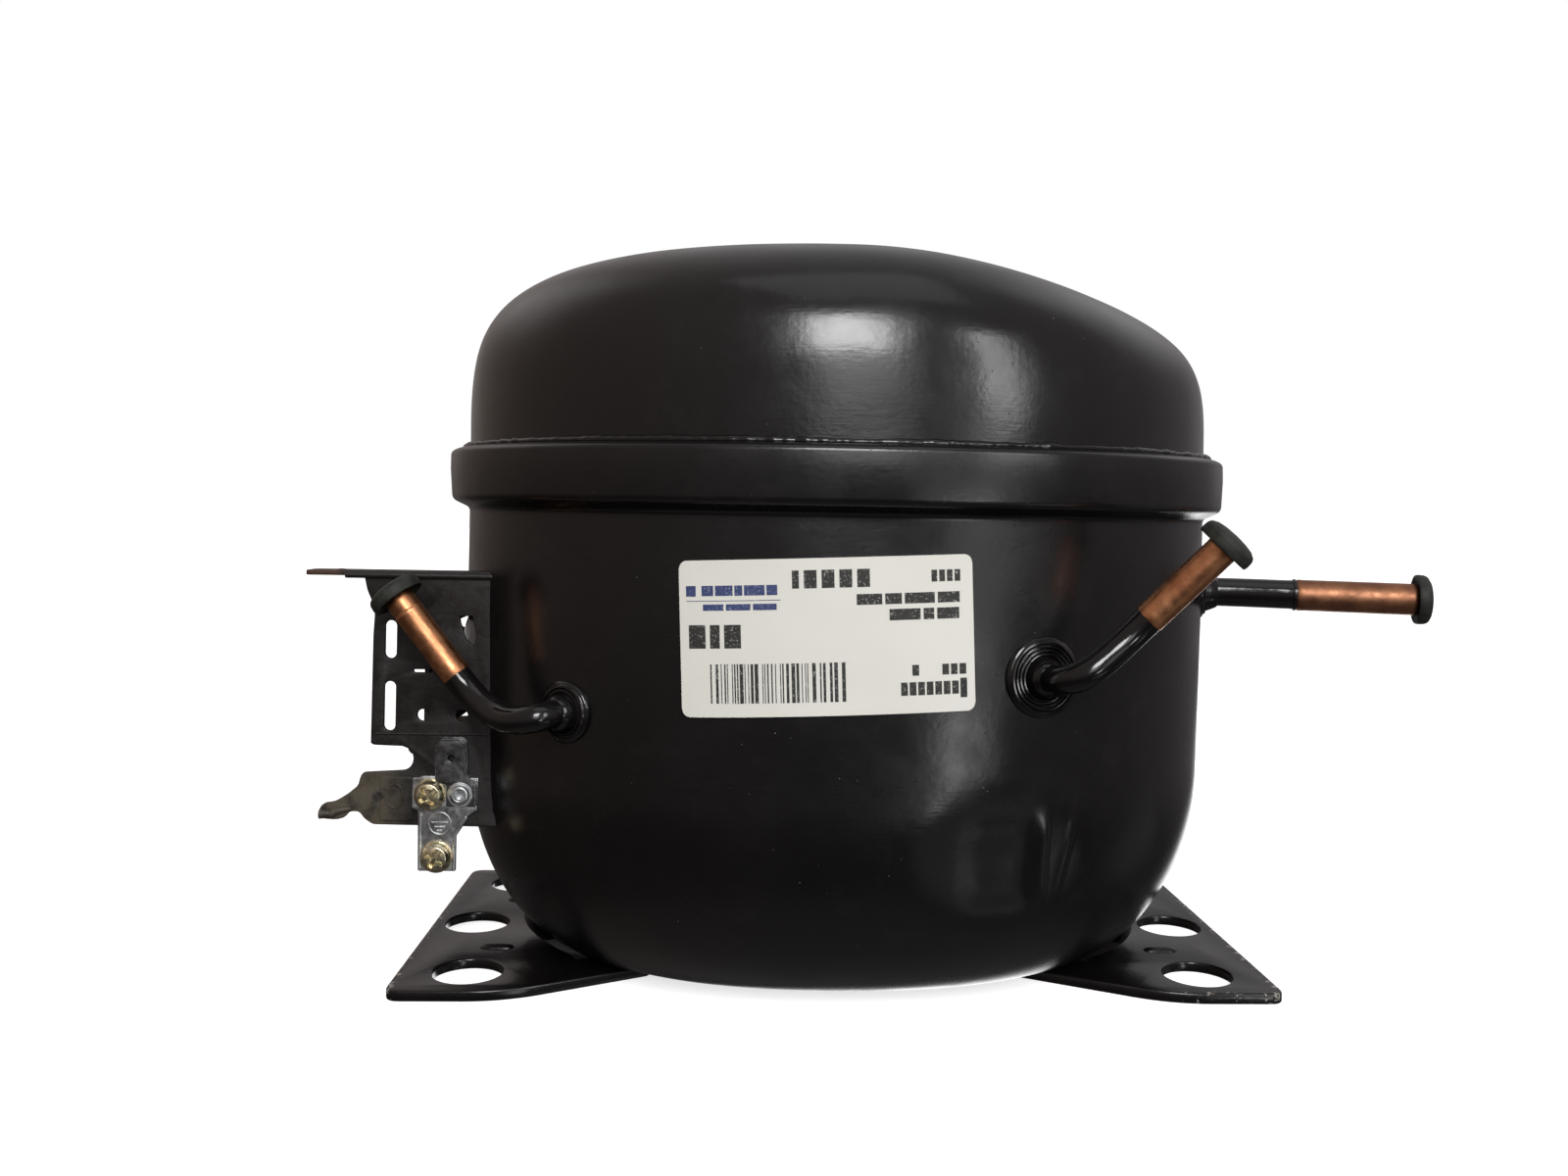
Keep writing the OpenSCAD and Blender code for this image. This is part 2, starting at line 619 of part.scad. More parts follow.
module rotor_cage() {
    color("#b8babb") crank_axis() for (z = [rotor_z - 5, rotor_z + rotor_h]) translate([0, 0, z]) difference() {
        cylinder(d = rotor_d - 3, h = 5);
        translate([0, 0, -1]) cylinder(d = 37, h = 7);
    }
}
// Half-ring balance weight riveted under the lower end ring
module rotor_weight() {
    color(bare_steel) crank_axis() translate([0, 0, rotor_z - 8.1]) difference() {
        cylinder(d = rotor_d - 4, h = 3);
        translate([0, 0, -1]) cylinder(d = 38, h = 5);
        translate([-40, 0, -1]) cube([80, 40, 5]);
    }
}

// ---- Pump --------------------------------------------------------------------------

base_z = 97;
base_h = 11;
cyl_x0 = 16;
cyl_x1 = 50;
cyl_r = 20;
bearing_z = 66;
web_z = base_z + base_h + run;
web_h = 7;
spigot_h = 1.4;
spigot_d = 20;
pin_z = web_z + web_h;
pin_h = 22;
weight_r = 21;
plate_t = 2.6;
gasket_t = 0.4;
head_len = 13;
head_w = 42;
head_bolt_at = 15.5;
module cyl_axis(x) { translate([x, 0, cyl_z]) rotate([0, 90, 0]) children(); }
module at_head_bolts() {
    for (y = [-1, 1], z = [-1, 1]) translate([0, y * head_bolt_at, z * head_bolt_at]) children();
}
// Casting: bridge with four posts on the stator, main bearing and cylinder
module crankcase() {
    post = 14;
    color(cast) difference() {
        union() {
            crank_axis() translate([-stator_w / 2 + 2, -stator_w / 2 + 2, base_z])
                cube([stator_w - 4, stator_w - 4, base_h]);
            at_bolts() translate([0, 0, stator_top]) cylinder(d = post, h = base_z - stator_top + 1);
            crank_axis() translate([0, 0, bearing_z]) cylinder(d = 30, h = base_z - bearing_z + 1);
            cyl_axis(cyl_x0) cylinder(r = cyl_r, h = cyl_x1 - cyl_x0);
            translate([cyl_x0, -cyl_r, base_z + 1]) cube([cyl_x1 - cyl_x0, 2 * cyl_r, cyl_z - base_z - 1]);
            translate([cyl_x1 - 6, -head_w / 2, cyl_z - head_w / 2]) cube([6, head_w, head_w]);
        }
        // Windows that lighten the bridge
        crank_axis() for (x = [-1, 1], y = [-1, 1]) translate([x * 46, y * 22, base_z - 2]) cylinder(d = 12, h = base_h + 4);
        crank_axis() for (y = [-1, 1]) translate([-22, y * 42, base_z - 2]) cylinder(d = 14, h = base_h + 4);
        at_bolts() translate([0, 0, stator_top - 1]) cylinder(d = 5.2, h = base_z + base_h - stator_top - 4);
        crank_axis() translate([0, 0, bearing_z - 1]) cylinder(r = journal_d / 2 + run / 2, h = 60);
        cyl_axis(cyl_x0 - 1) cylinder(d = bore_d + run, h = cyl_x1 - cyl_x0 + 2);
        translate([cyl_x1 - 14, 0, cyl_z]) at_head_bolts() rotate([0, 90, 0]) cylinder(d = 4, h = 20);
    }
}
// Head-side sheets are square with four bolt holes
module head_sheet(x, t) {
    difference() {
        translate([x, -head_w / 2, cyl_z - head_w / 2]) cube([t, head_w, head_w]);
        translate([x - 1, 0, cyl_z]) at_head_bolts() rotate([0, 90, 0]) cylinder(d = 4.3, h = t + 2);
        children();
    }
}
gasket_x = cyl_x1;
plate_x = gasket_x + gasket_t;
gasket2_x = plate_x + plate_t;
head_x = gasket2_x + gasket_t;
suction_port = [6, 0];
discharge_port = [-6, 0];
port_d = 5;
module valve_gasket() {
    color("#3c4a44") head_sheet(gasket_x, gasket_t) cyl_axis(gasket_x - 1) cylinder(d = bore_d + 3, h = 3);
}
module valve_plate() {
    color(bare_steel) head_sheet(plate_x, plate_t)
        for (y = [suction_port[0], discharge_port[0]]) translate([0, y, 0]) cyl_axis(plate_x - 1)
            cylinder(d = port_d, h = plate_t + 2);
}
module head_gasket() {
    color("#3c4a44") head_sheet(gasket2_x, gasket_t)
        for (y = [-8.6, 8.6]) translate([gasket2_x - 1, y - 7.6, cyl_z - 11]) cube([3, 15.2, 22]);
}
module cylinder_head() {
    color("#a9abac") head_sheet(head_x, head_len) {
        for (y = [-8.6, 8.6]) translate([head_x - 1, y - 7.6, cyl_z - 11]) cube([head_len - 3, 15.2, 22]);
    }
}
module head_bolts() {
    color(bare_steel) translate([cyl_x1 - 10, 0, cyl_z]) at_head_bolts() rotate([0, 90, 0]) {
        cylinder(d = 3.8, h = head_x + head_len - cyl_x1 + 11);
        translate([0, 0, head_x + head_len - cyl_x1 + 10.05]) cylinder(d = 7, h = 4, $fn = 6);
    }
}
// Reed tongues: the suction reed lies in the bore against the plate, the discharge reed in the head
reed_t = 0.25;
module reed(y, x) {
    translate([x, y, cyl_z]) {
        rotate([0, 90, 0]) cylinder(d = port_d + 1.6, h = reed_t);
        translate([0, -2.4, 0]) cube([reed_t, 4.8, 8.5]);
    }
}
module suction_reed() { color("#9aa0a4") reed(suction_port[0] - 1, plate_x - reed_t - 0.05); }
module discharge_reed() { color("#9aa0a4") reed(discharge_port[0], gasket2_x + 0.05); }

// Cross-slide drive: the yoke is a cross tube, the slide block runs inside it
yoke_r = 12.4;
yoke_bore_r = 9.2;
yoke_half = 20;
piston_len = 24;
block_half = 10;
top_clear = 0.7;
piston_front = cyl_x1 - throw - top_clear;
module yoke() {
    color(cast) difference() {
        union() {
            crank_axis() translate([0, 0, cyl_z]) rotate([90, 0, 0]) cylinder(r = yoke_r, h = 2 * yoke_half, center = true);
            cyl_axis(crank_x) cylinder(d = 12, h = piston_front - piston_len - crank_x + 5);
        }
        crank_axis() translate([0, 0, cyl_z]) rotate([90, 0, 0])
            cylinder(r = yoke_bore_r, h = 2 * yoke_half + 2, center = true);
        crank_axis() translate([-pin_d / 2 - 0.6, -throw - pin_d / 2 - 1, cyl_z - 20])
            cube([pin_d + 1.2, 2 * throw + pin_d + 2, 40]);
    }
}
module piston() {
    color("#8f9396") difference() {
        cyl_axis(piston_front - piston_len) cylinder(r = bore_d / 2 - run / 2, h = piston_len);
        cyl_axis(piston_front - piston_len - 1) cylinder(d = 12.02, h = 6.1);
        for (x = [6, 10]) cyl_axis(piston_front - x) difference() {
            cylinder(d = bore_d + 2, h = 1);
            translate([0, 0, -1]) cylinder(d = bore_d - 1.2, h = 3);
        }
    }
}
module slide_block() {
    color("#8f9396") difference() {
        crank_axis() translate([0, throw, cyl_z]) rotate([90, 0, 0])
            cylinder(r = yoke_bore_r - run / 2, h = 2 * block_half, center = true);
        crank_axis() translate([0, throw, cyl_z - 20]) cylinder(r = pin_d / 2 + run / 2, h = 40);
    }
}
// At rest the crankpin is at its furthest along +Y, so the piston is at mid stroke
module crankshaft() {
    color("#8f9396") crank_axis() difference() {
        union() {
            translate([0, 0, 30]) cylinder(d = journal_d, h = web_z - 30 + 1);
            translate([0, 0, web_z]) linear_extrude(web_h) hull() {
                translate([0, throw]) circle(d = pin_d + 6);
                circle(d = journal_d + 8);
            }
            // Counterweight opposite the pin
            translate([0, 0, web_z]) linear_extrude(web_h) intersection() {
                circle(r = weight_r);
                translate([-weight_r, -weight_r - 4]) square([2 * weight_r, weight_r]);
            }
            translate([0, throw / 2, pin_z - 0.5]) cylinder(d = spigot_d, h = spigot_h + 0.5);
            translate([0, throw, pin_z]) cylinder(d = pin_d, h = pin_h);
        }
        // Oil way up the shaft to the pin
        translate([0, 0, 29]) cylinder(d = 5, h = 60);
    }
}
washer_t = 1.2;
module thrust_washer() {
    color("#c08a4a") crank_axis() translate([0, throw / 2, pin_z + 0.1]) difference() {
        cylinder(d = 25, h = washer_t);
        translate([0, 0, -1]) cylinder(d = spigot_d + run, h = washer_t + 2);
    }
}
module oil_pickup() {
    color(bare_steel) crank_axis() difference() {
        union() {
            translate([0, 0, 20]) cylinder(d1 = 6, d2 = 10, h = 9);
            translate([0, 0, 29]) cylinder(d = 4.95, h = 8);
        }
        translate([0, 0, 19]) cylinder(d = 3, h = 30);
    }
}

// ---- Gas path ------------------------------------------------------------------------

muffler_x = 40;
module suction_muffler() {
    color("#d8d5c8") difference() {
        union() {
            translate([muffler_x, 24, cyl_z - 16]) cube([23, 19, 30]);
            translate([head_x + 4, head_w / 2 + 0.05, cyl_z - 5]) cube([6, 3, 10]);
            translate([muffler_x + 10, 34, cyl_z + 13]) cylinder(d = 12, h = 8);
        }
        translate([muffler_x + 2, 26, cyl_z - 14]) cube([19, 15, 26]);
        translate([muffler_x + 10, 34, cyl_z + 8]) cylinder(d = 8, h = 20);
    }
}
module discharge_muffler() {
    color(bare_steel) crank_axis() translate([-37, 0, base_z + base_h]) rotate_extrude() polygon([
        [0, 0], [13, 0], [13, 15], [10, 20], [0, 20]]);
}
// Thin discharge tube with one long loop, so that the pump can move on its springs
shock_r = 1.6;
shock_path = concat(
    bezier_path([[-43, 0, 128.7], [-43, 0, 146], [-32, -44, 150], [4, -44, 150]], 9),
    bezier_path([[8, -43.6, 150], [44, -40, 150], [68, -30, 134], [60, -44, 108]], 9),
    bezier_path([[58, -46, 104], [50, -60, 84], [0, -62, 62], [-34, -62, 62]], 9),
    [discharge_p - 9 * wall_dir(discharge_ang), discharge_p - 5 * wall_dir(discharge_ang)]);
module shock_tube() {
    color(copper) sweep(shock_path, shock_r, 8, [0.31, 0.2, 0.93]);
}

// ---- Suspension ------------------------------------------------------------------------

spring_z0 = 18.2;
spring_z1 = 30.9;
spring_r = 5.6;
wire_r = 0.8;
spring_turns = 4;
module coil() {
    steps = 10 * spring_turns;
    rise = spring_z1 - spring_z0 - 2 * wire_r;
    path = [for (i = [0 : steps]) let (a = 360 * spring_turns * i / steps)
        [spring_r * cos(a), spring_r * sin(a), spring_z0 + wire_r + rise * i / steps]];
    sweep(path, wire_r, 6);
}
module suspension_springs() { color("#7c8084") at_bolts() coil(); }
// The room inside the bowl's bottom curve
module bowl_room() {
    translate([0, 0, 0.15]) ring_loft([for (k = [len(bowl_inside) - 1 : -1 : 3]) bowl_inner_ring(bowl_inside[k])],
        [0, 0, bowl_z + shell_t], [0, 0, 85]);
}
// Pressed seats on posts that stand on the bowl's curved bottom, each with a pilot for its spring
module lower_spring_seats() {
    color(bare_steel) intersection() {
        at_bolts() {
            cylinder(d = 7, h = spring_z0 - 1);
            translate([0, 0, spring_z0 - 1.2]) cylinder(d = 13.4, h = 1.2);
            cylinder(d1 = 9.2, d2 = 7, h = spring_z0 + 4);
        }
        bowl_room();
    }
}
// Plastic seats between the springs and the stator bolts' heads
module upper_spring_seats() {
    color("#d8d5c8") at_bolts() {
        translate([0, 0, spring_z1]) cylinder(d = 14, h = stator_z - 4 - spring_z1);
        translate([0, 0, spring_z1 - 4]) cylinder(d1 = 7, d2 = 9.2, h = 4.5);
    }
}

// ---- Leads -----------------------------------------------------------------------------

module lead_connector() {
    color("#e4e0d2") difference() {
        translate(terminal_p + [13.5, 0, 0]) rotate([0, 90, 0]) cylinder(d = 21, h = 9);
        terminal_spots() cylinder(d = 2.7, h = 60, center = true);
    }
}
module motor_leads() {
    for (k = [0 : 2]) color(["#3b3f44", "#b4b1a8", "#9a6a2c"][k])
        sweep(bezier_path([terminal_p + [23, 4 * k - 4, 0], terminal_p + [29, 4 * k - 4, 0],
            [crank_x - 40, 5 * k - 5, 103], [crank_x - 38, 5 * k - 5, 92.2]], 10), 1.1, 6, [0.1, 1, 0.2]);
}

lower_shell();
upper_shell();
seam_weld();
left_foot();
right_foot();
suction_fitting();
process_fitting();
discharge_fitting();
suction_tube();
process_tube();
discharge_tube();
suction_stub();
process_stub();
discharge_stub();
suction_plug();
process_plug();
discharge_plug();
terminal_bracket();
terminal_body();
terminal_glass();
terminal_pins();
earth_plate();
earth_tab();
earth_eyelet();
earth_screws();
rating_label();
crankcase();
valve_plate();
suction_reed();
discharge_reed();
valve_gasket();
head_gasket();
cylinder_head();
head_bolts();
piston();
yoke();
slide_block();
thrust_washer();
crankshaft();
oil_pickup();
rotor_core();
rotor_cage();
rotor_weight();
stator_core();
upper_winding();
lower_winding();
stator_bolts();
suction_muffler();
discharge_muffler();
shock_tube();
suspension_springs();
lower_spring_seats();
upper_spring_seats();
motor_leads();
lead_connector();
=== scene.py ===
"""The looks of a hermetic refrigerator compressor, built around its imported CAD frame.

Lengths in this file are millimetres in the frame's own axes, and MM turns them into Blender's metres.
Pieces that show from outside are rebuilt here as fine meshes; sealed inner pieces keep their CAD shape.
"""
import json
import math
import random

import bmesh
import bpy
from mathutils import Matrix, Vector, noise


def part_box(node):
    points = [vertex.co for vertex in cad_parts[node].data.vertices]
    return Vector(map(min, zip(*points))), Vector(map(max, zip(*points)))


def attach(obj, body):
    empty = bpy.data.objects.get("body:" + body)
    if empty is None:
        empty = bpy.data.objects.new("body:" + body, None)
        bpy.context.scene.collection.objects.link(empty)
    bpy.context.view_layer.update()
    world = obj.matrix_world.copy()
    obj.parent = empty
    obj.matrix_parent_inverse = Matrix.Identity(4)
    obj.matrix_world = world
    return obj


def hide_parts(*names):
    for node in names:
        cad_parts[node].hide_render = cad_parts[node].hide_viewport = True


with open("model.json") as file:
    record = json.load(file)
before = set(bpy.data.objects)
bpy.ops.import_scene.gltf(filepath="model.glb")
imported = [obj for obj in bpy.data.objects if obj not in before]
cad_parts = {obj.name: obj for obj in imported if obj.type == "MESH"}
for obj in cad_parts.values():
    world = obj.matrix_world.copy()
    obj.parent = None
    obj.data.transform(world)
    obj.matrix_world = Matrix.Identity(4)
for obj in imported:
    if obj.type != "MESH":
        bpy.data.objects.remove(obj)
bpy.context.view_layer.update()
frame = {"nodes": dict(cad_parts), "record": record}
MM = 0.001
UP = Vector((0, 0, 1))
rng = random.Random(45)


def node_box(node):
    """Lowest and highest corner of a CAD node, in millimetres."""
    low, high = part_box(node)
    return Vector(low) / MM, Vector(high) / MM


# ---- Driving sizes, read from the frame -------------------------------------------

cap_high = node_box("upper_shell")[1]
bowl_low, bowl_high = node_box("lower_shell")
# Half width and half depth of the casing body
BODY_HW = cap_high.x
BODY_HD = cap_high.y
RIM_OUT = bowl_high.x - cap_high.x
CAP_TOP_Z = cap_high.z
RIM_TOP_Z = bowl_high.z
BOWL_Z = bowl_low.z
PLAN_N = 2.2
SHELL_T = 3
CORNER_Z = 50
CORNER_W = 33
RIM_Z = 109
CAP_WALL_Z = 122
CAP_DROP = 0.19
SEAT_Z = 112
SEAT_GAP = 0.2
WALL_DRAFT = 0.7
FOOT_T = 2.5
STEEL_R = 3
STEEL_SUCTION_R = 3.55
STUB_WALL = 0.75
# Tube entries on the wall: angle in degrees and height
ENTRY = {"suction": (-12.4, 91.5), "process": (-60, 76), "discharge": (223.7, 66)}


def plan_r(ang, inset=0.0):
    c, s = abs(math.cos(ang)), abs(math.sin(ang))
    return ((c / (BODY_HW - inset)) ** PLAN_N + (s / (BODY_HD - inset)) ** PLAN_N) ** (-1 / PLAN_N)


def plan_pt(ang, inset=0.0, z=0.0):
    r = plan_r(ang, inset)
    return Vector((r * math.cos(ang), r * math.sin(ang), z))


def wall_dir(ang):
    """Outward direction of the body wall."""
    p = plan_pt(ang)
    gx = math.copysign((abs(p.x) / BODY_HW) ** (PLAN_N - 1) / BODY_HW, p.x)
    gy = math.copysign((abs(p.y) / BODY_HD) ** (PLAN_N - 1) / BODY_HD, p.y)
    return Vector((gx, gy, 0)).normalized()


def wall_y(x, out=0.0):
    """Y of the front wall, moved out, at an X."""
    return -(BODY_HD + out) * (1 - (abs(x) / (BODY_HW + out)) ** PLAN_N) ** (1 / PLAN_N)


def smooth(a, b, x):
    t = min(max((x - a) / (b - a), 0.0), 1.0)
    return t * t * (3 - 2 * t)


def wobble(p, size, seed=0.0):
    """Smooth noise from -1 to 1 with features of a given size."""
    return noise.noise(p / size + Vector((seed, 3.1 * seed, 0)))


# ---- Materials ---------------------------------------------------------------------

class Graph:
    """A material with a Principled shader, and short calls for the nodes used here."""

    def __init__(self, name, rough=0.4, metal=0.0, **sockets):
        self.mat = bpy.data.materials.new(name)
        self.mat.use_nodes = True
        self.nodes = self.mat.node_tree.nodes
        self.links = self.mat.node_tree.links
        self.nodes.clear()
        self.out = self.nodes.new("ShaderNodeOutputMaterial")
        self.shader = self.nodes.new("ShaderNodeBsdfPrincipled")
        self.links.new(self.shader.outputs[0], self.out.inputs[0])
        self.where = self.nodes.new("ShaderNodeTexCoord").outputs["Object"]
        self.set("Roughness", rough)
        self.set("Metallic", metal)
        for socket, value in sockets.items():
            self.set(socket.replace("_", " "), value)

    def set(self, socket, value):
        target = self.shader.inputs[socket]
        if isinstance(value, bpy.types.NodeSocket):
            self.links.new(value, target)
        elif isinstance(value, tuple):
            target.default_value = (*value, 1.0)
        else:
            target.default_value = value

    def plug(self, target, value):
        if isinstance(value, bpy.types.NodeSocket):
            self.links.new(value, target)
        else:
            target.default_value = (*value, 1.0) if isinstance(value, tuple) and len(value) == 3 else value

    def scaled(self, scale):
        """Object coordinates stretched by (x, y, z), for streaks."""
        node = self.nodes.new("ShaderNodeMapping")
        node.inputs["Scale"].default_value = scale
        self.links.new(self.where, node.inputs["Vector"])
        return node.outputs[0]

    def noise(self, size, detail=2.0, rough=0.5, where=None):
        """Noise from 0 to 1 with features of a size in millimetres."""
        node = self.nodes.new("ShaderNodeTexNoise")
        node.inputs["Scale"].default_value = 1 / (size * MM)
        node.inputs["Detail"].default_value = detail
        node.inputs["Roughness"].default_value = rough
        self.links.new(where or self.where, node.inputs["Vector"])
        return node.outputs[0]

    def cells(self, size):
        """Distance from the middles of Voronoi cells of a size in millimetres."""
        node = self.nodes.new("ShaderNodeTexVoronoi")
        node.inputs["Scale"].default_value = 1 / (size * MM)
        self.links.new(self.where, node.inputs["Vector"])
        return node.outputs["Distance"]

    def wave(self, size, distortion, detail, where):
        """Bands stacked along Z."""
        node = self.nodes.new("ShaderNodeTexWave")
        node.bands_direction = "Z"
        node.inputs["Scale"].default_value = 1 / (size * MM)
        node.inputs["Distortion"].default_value = distortion
        node.inputs["Detail"].default_value = detail
        self.links.new(where, node.inputs["Vector"])
        return node.outputs["Fac"]

    def math(self, operation, a, b=0.0):
        node = self.nodes.new("ShaderNodeMath")
        node.operation = operation
        self.plug(node.inputs[0], a)
        self.plug(node.inputs[1], b)
        return node.outputs[0]

    def span(self, value, low, high, to_low=0.0, to_high=1.0):
        """Maps a value from one range to another, with soft ends."""
        node = self.nodes.new("ShaderNodeMapRange")
        node.interpolation_type = "SMOOTHSTEP"
        for k, v in enumerate((value, low, high, to_low, to_high)):
            self.plug(node.inputs[k], v)
        return node.outputs[0]

    def blend(self, factor, a, b):
        node = self.nodes.new("ShaderNodeMix")
        node.data_type = "RGBA"
        self.plug(node.inputs[0], factor)
        self.plug(node.inputs[6], a)
        self.plug(node.inputs[7], b)
        return node.outputs[2]

    def axis(self, name):
        node = self.nodes.new("ShaderNodeSeparateXYZ")
        self.links.new(self.where, node.inputs[0])
        return node.outputs[name]

    def beyond(self, name, start, full):
        """0 to 1 along an axis, from one place in millimetres to another."""
        return self.span(self.axis(name), start * MM, full * MM)

    def bump(self, *layers):
        """Stacks bumps, each (height, depth in millimetres)."""
        normal = None
        for height, depth in layers:
            node = self.nodes.new("ShaderNodeBump")
            node.inputs["Distance"].default_value = depth * MM
            self.plug(node.inputs["Height"], height)
            if normal is not None:
                self.links.new(normal, node.inputs["Normal"])
            normal = node.outputs[0]
        self.set("Normal", normal)


def sparse(g, size, radius, clump, share):
    """Round spots of a radius in cells of a size, kept only where broad noise is high."""
    spots = g.span(g.cells(size), radius / size, 0.5 * radius / size)
    return g.math("MULTIPLY", spots, g.span(g.noise(clump), share, share + 0.08))


def enamel(name, gloss=0.2, peel=0.02, dust=1.0, wear=None):
    """Black enamel: slightly brown and uneven, orange peel, dust nibs, pits, and worn places."""
    g = Graph(name, Specular_IOR_Level=0.45)
    clouds = g.noise(26, 3.0)
    color = g.blend(clouds, (0.0032, 0.0028, 0.0031), (0.0056, 0.0048, 0.0050))
    film = g.span(g.noise(9, 4.0, 0.6), 0.52, 0.78)
    color = g.blend(g.math("MULTIPLY", film, 0.3), color, (0.014, 0.0125, 0.0118))
    rough = g.span(g.noise(14, 4.0, 0.6), 0.25, 0.8, gloss * 0.82, gloss * 1.3)
    nibs = g.math("MULTIPLY", sparse(g, 3.4, 0.16, 11, 0.56), dust)
    color = g.blend(g.math("MULTIPLY", nibs, 0.7), color, (0.30, 0.29, 0.27))
    pits = g.math("MULTIPLY", sparse(g, 2.6, 0.2, 8, 0.55), -dust)
    drawn = g.noise(0.5, 2.0, 0.5, g.scaled((0.12, 0.12, 1.0)))
    layers = [(g.noise(1.3, 2.0), peel), (g.noise(8, 2.0), 0.05), (drawn, peel * 0.6), (nibs, 0.08),
              (pits, 0.14)]
    if wear is not None:
        worn = wear(g)
        color = g.blend(worn, color, (0.33, 0.31, 0.28))
        rough = g.math("ADD", rough, g.math("MULTIPLY", worn, 0.2))
        layers.append((worn, -0.05))
    g.set("Base Color", color)
    g.set("Roughness", rough)
    g.bump(*layers)
    return g.mat


def chips(g, edge, size=1.5, share=0.62):
    """Chipped paint: hard noise patches, only where the edge mask is on."""
    return g.math("MULTIPLY", edge, g.span(g.noise(size, 4.0, 0.7), share, share + 0.03))


def foot_wear(g):
    """Chips along the outer and front edges of both feet."""
    x = g.math("ABSOLUTE", g.axis("X"))
    outer = g.span(x, 98.6 * MM, 100.4 * MM)
    front = g.span(g.axis("Y"), -45.6 * MM, -47.2 * MM)
    right = g.beyond("X", 70, 84)
    edge = g.math("MAXIMUM", outer, g.math("MULTIPLY", front, right))
    return chips(g, edge, 2.2, 0.57)


def bracket_paint():
    """Thin satin paint on pressed sheet, with a patchy lighter olive brown painted on the arm as painted
    light where it bends out and faces up, and the flange's tip worn to brown.
    """
    g = Graph("bracket_paint", Specular_IOR_Level=0.4)
    color = g.blend(g.noise(6, 4.0, 0.6), (0.0055, 0.0047, 0.0044), (0.0105, 0.0088, 0.0078))
    # Painted light: the arm's lower part bends out and faces up, so a patchy lighter olive brown there stands
    # in for the light it catches.
    low = g.beyond("Z", 52, 46)
    out = g.beyond("X", -97, -104)
    arm = g.math("MULTIPLY", g.math("MULTIPLY", low, out), g.span(g.noise(5, 4.0, 0.6), 0.30, 0.55))
    color = g.blend(g.math("MULTIPLY", arm, 0.85), color, (0.085, 0.072, 0.052))
    tip = g.math("MULTIPLY", g.beyond("Z", 90, 92), g.beyond("X", -112, -116))
    color = g.blend(g.math("MULTIPLY", tip, 0.7), color, (0.075, 0.036, 0.022))
    scuffs = g.span(g.noise(1.2, 5.0, 0.75), 0.66, 0.74)
    color = g.blend(g.math("MULTIPLY", scuffs, 0.25), color, (0.12, 0.11, 0.095))
    g.set("Base Color", color)
    g.set("Roughness", g.span(g.noise(3, 4.0, 0.6), 0.3, 0.7, 0.34, 0.58))
    g.bump((g.noise(0.7, 3.0), 0.04), (g.noise(4, 2.0), 0.12), (scuffs, 0.03))
    return g.mat


def copper_metal(name, bright, tarnish, rough):
    """Drawn copper: fine scratches, brown tarnish in patches, a few sooty spots."""
    g = Graph(name, metal=1.0)
    patches = g.span(g.noise(5, 5.0, 0.65), 0.35, 0.7)
    color = g.blend(patches, bright, tarnish)
    soot = g.span(g.noise(1.6, 5.0, 0.7), 0.62, 0.80)
    color = g.blend(g.math("MULTIPLY", soot, 0.35), color, (0.17, 0.080, 0.045))
    g.set("Base Color", color)
    g.set("Roughness", g.span(g.noise(2.2, 4.0, 0.6), 0.3, 0.75, rough, rough + 0.16))
    scratches = g.noise(0.25, 3.0, 0.6, g.scaled((1.0, 0.25, 1.0)))
    g.bump((scratches, 0.012), (g.noise(3, 2.0), 0.05), (soot, 0.02))
    return g.mat


def rubber_mat():
    """Grey-black moulded rubber with a dusty bloom."""
    g = Graph("rubber", Specular_IOR_Level=0.3)
    bloom = g.span(g.noise(3.5, 5.0, 0.65), 0.35, 0.75)
    g.set("Base Color", g.blend(bloom, (0.012, 0.0125, 0.0105), (0.034, 0.036, 0.030)))
    g.set("Roughness", g.span(bloom, 0, 1, 0.55, 0.8))
    g.bump((g.noise(0.35, 3.0), 0.02), (g.noise(2.0, 3.0), 0.08))
    return g.mat


def plated(name, bright, dull, rough=0.28, dirt=0.4):
    """Zinc plate: slight rolling lines, dull patches, dirt in scattered spots."""
    g = Graph(name, metal=1.0)
    patches = g.span(g.noise(2.6, 5.0, 0.65), 0.35, 0.68)
    color = g.blend(patches, bright, dull)
    grime = g.span(g.noise(0.9, 5.0, 0.7), 0.58, 0.74)
    g.set("Base Color", g.blend(g.math("MULTIPLY", grime, dirt), color, (0.09, 0.085, 0.06)))
    g.set("Roughness", g.span(g.noise(1.4, 4.0, 0.6), 0.3, 0.75, rough, rough + 0.2))
    rolled = g.noise(0.18, 2.0, 0.5, g.scaled((0.08, 1.0, 1.0)))
    g.bump((rolled, 0.006), (g.noise(1.8, 3.0), 0.05), (grime, 0.015))
    return g.mat


def film_mat():
    """White label film, very slightly yellowed and creased, with a satin coat."""
    g = Graph("label_film", Coat_Weight=0.25, Coat_Roughness=0.25)
    tone = g.blend(g.noise(18, 3.0), (0.70, 0.695, 0.635), (0.76, 0.755, 0.70))
    smudge = g.span(g.noise(4, 5.0, 0.7), 0.62, 0.82)
    g.set("Base Color", g.blend(g.math("MULTIPLY", smudge, 0.18), tone, (0.58, 0.57, 0.52)))
    g.set("Roughness", g.span(g.noise(6, 3.0), 0.3, 0.7, 0.36, 0.5))
    g.bump((g.noise(9, 2.0), 0.10), (g.noise(0.5, 2.0), 0.004))
    return g.mat


def ink_mat(name, solid, faded):
    """Printed ink that has dropped out in small places."""
    g = Graph(name, rough=0.5, Specular_IOR_Level=0.3)
    missing = g.span(g.noise(0.5, 4.0, 0.7), 0.56, 0.68)
    g.set("Base Color", g.blend(missing, solid, faded))
    return g.mat


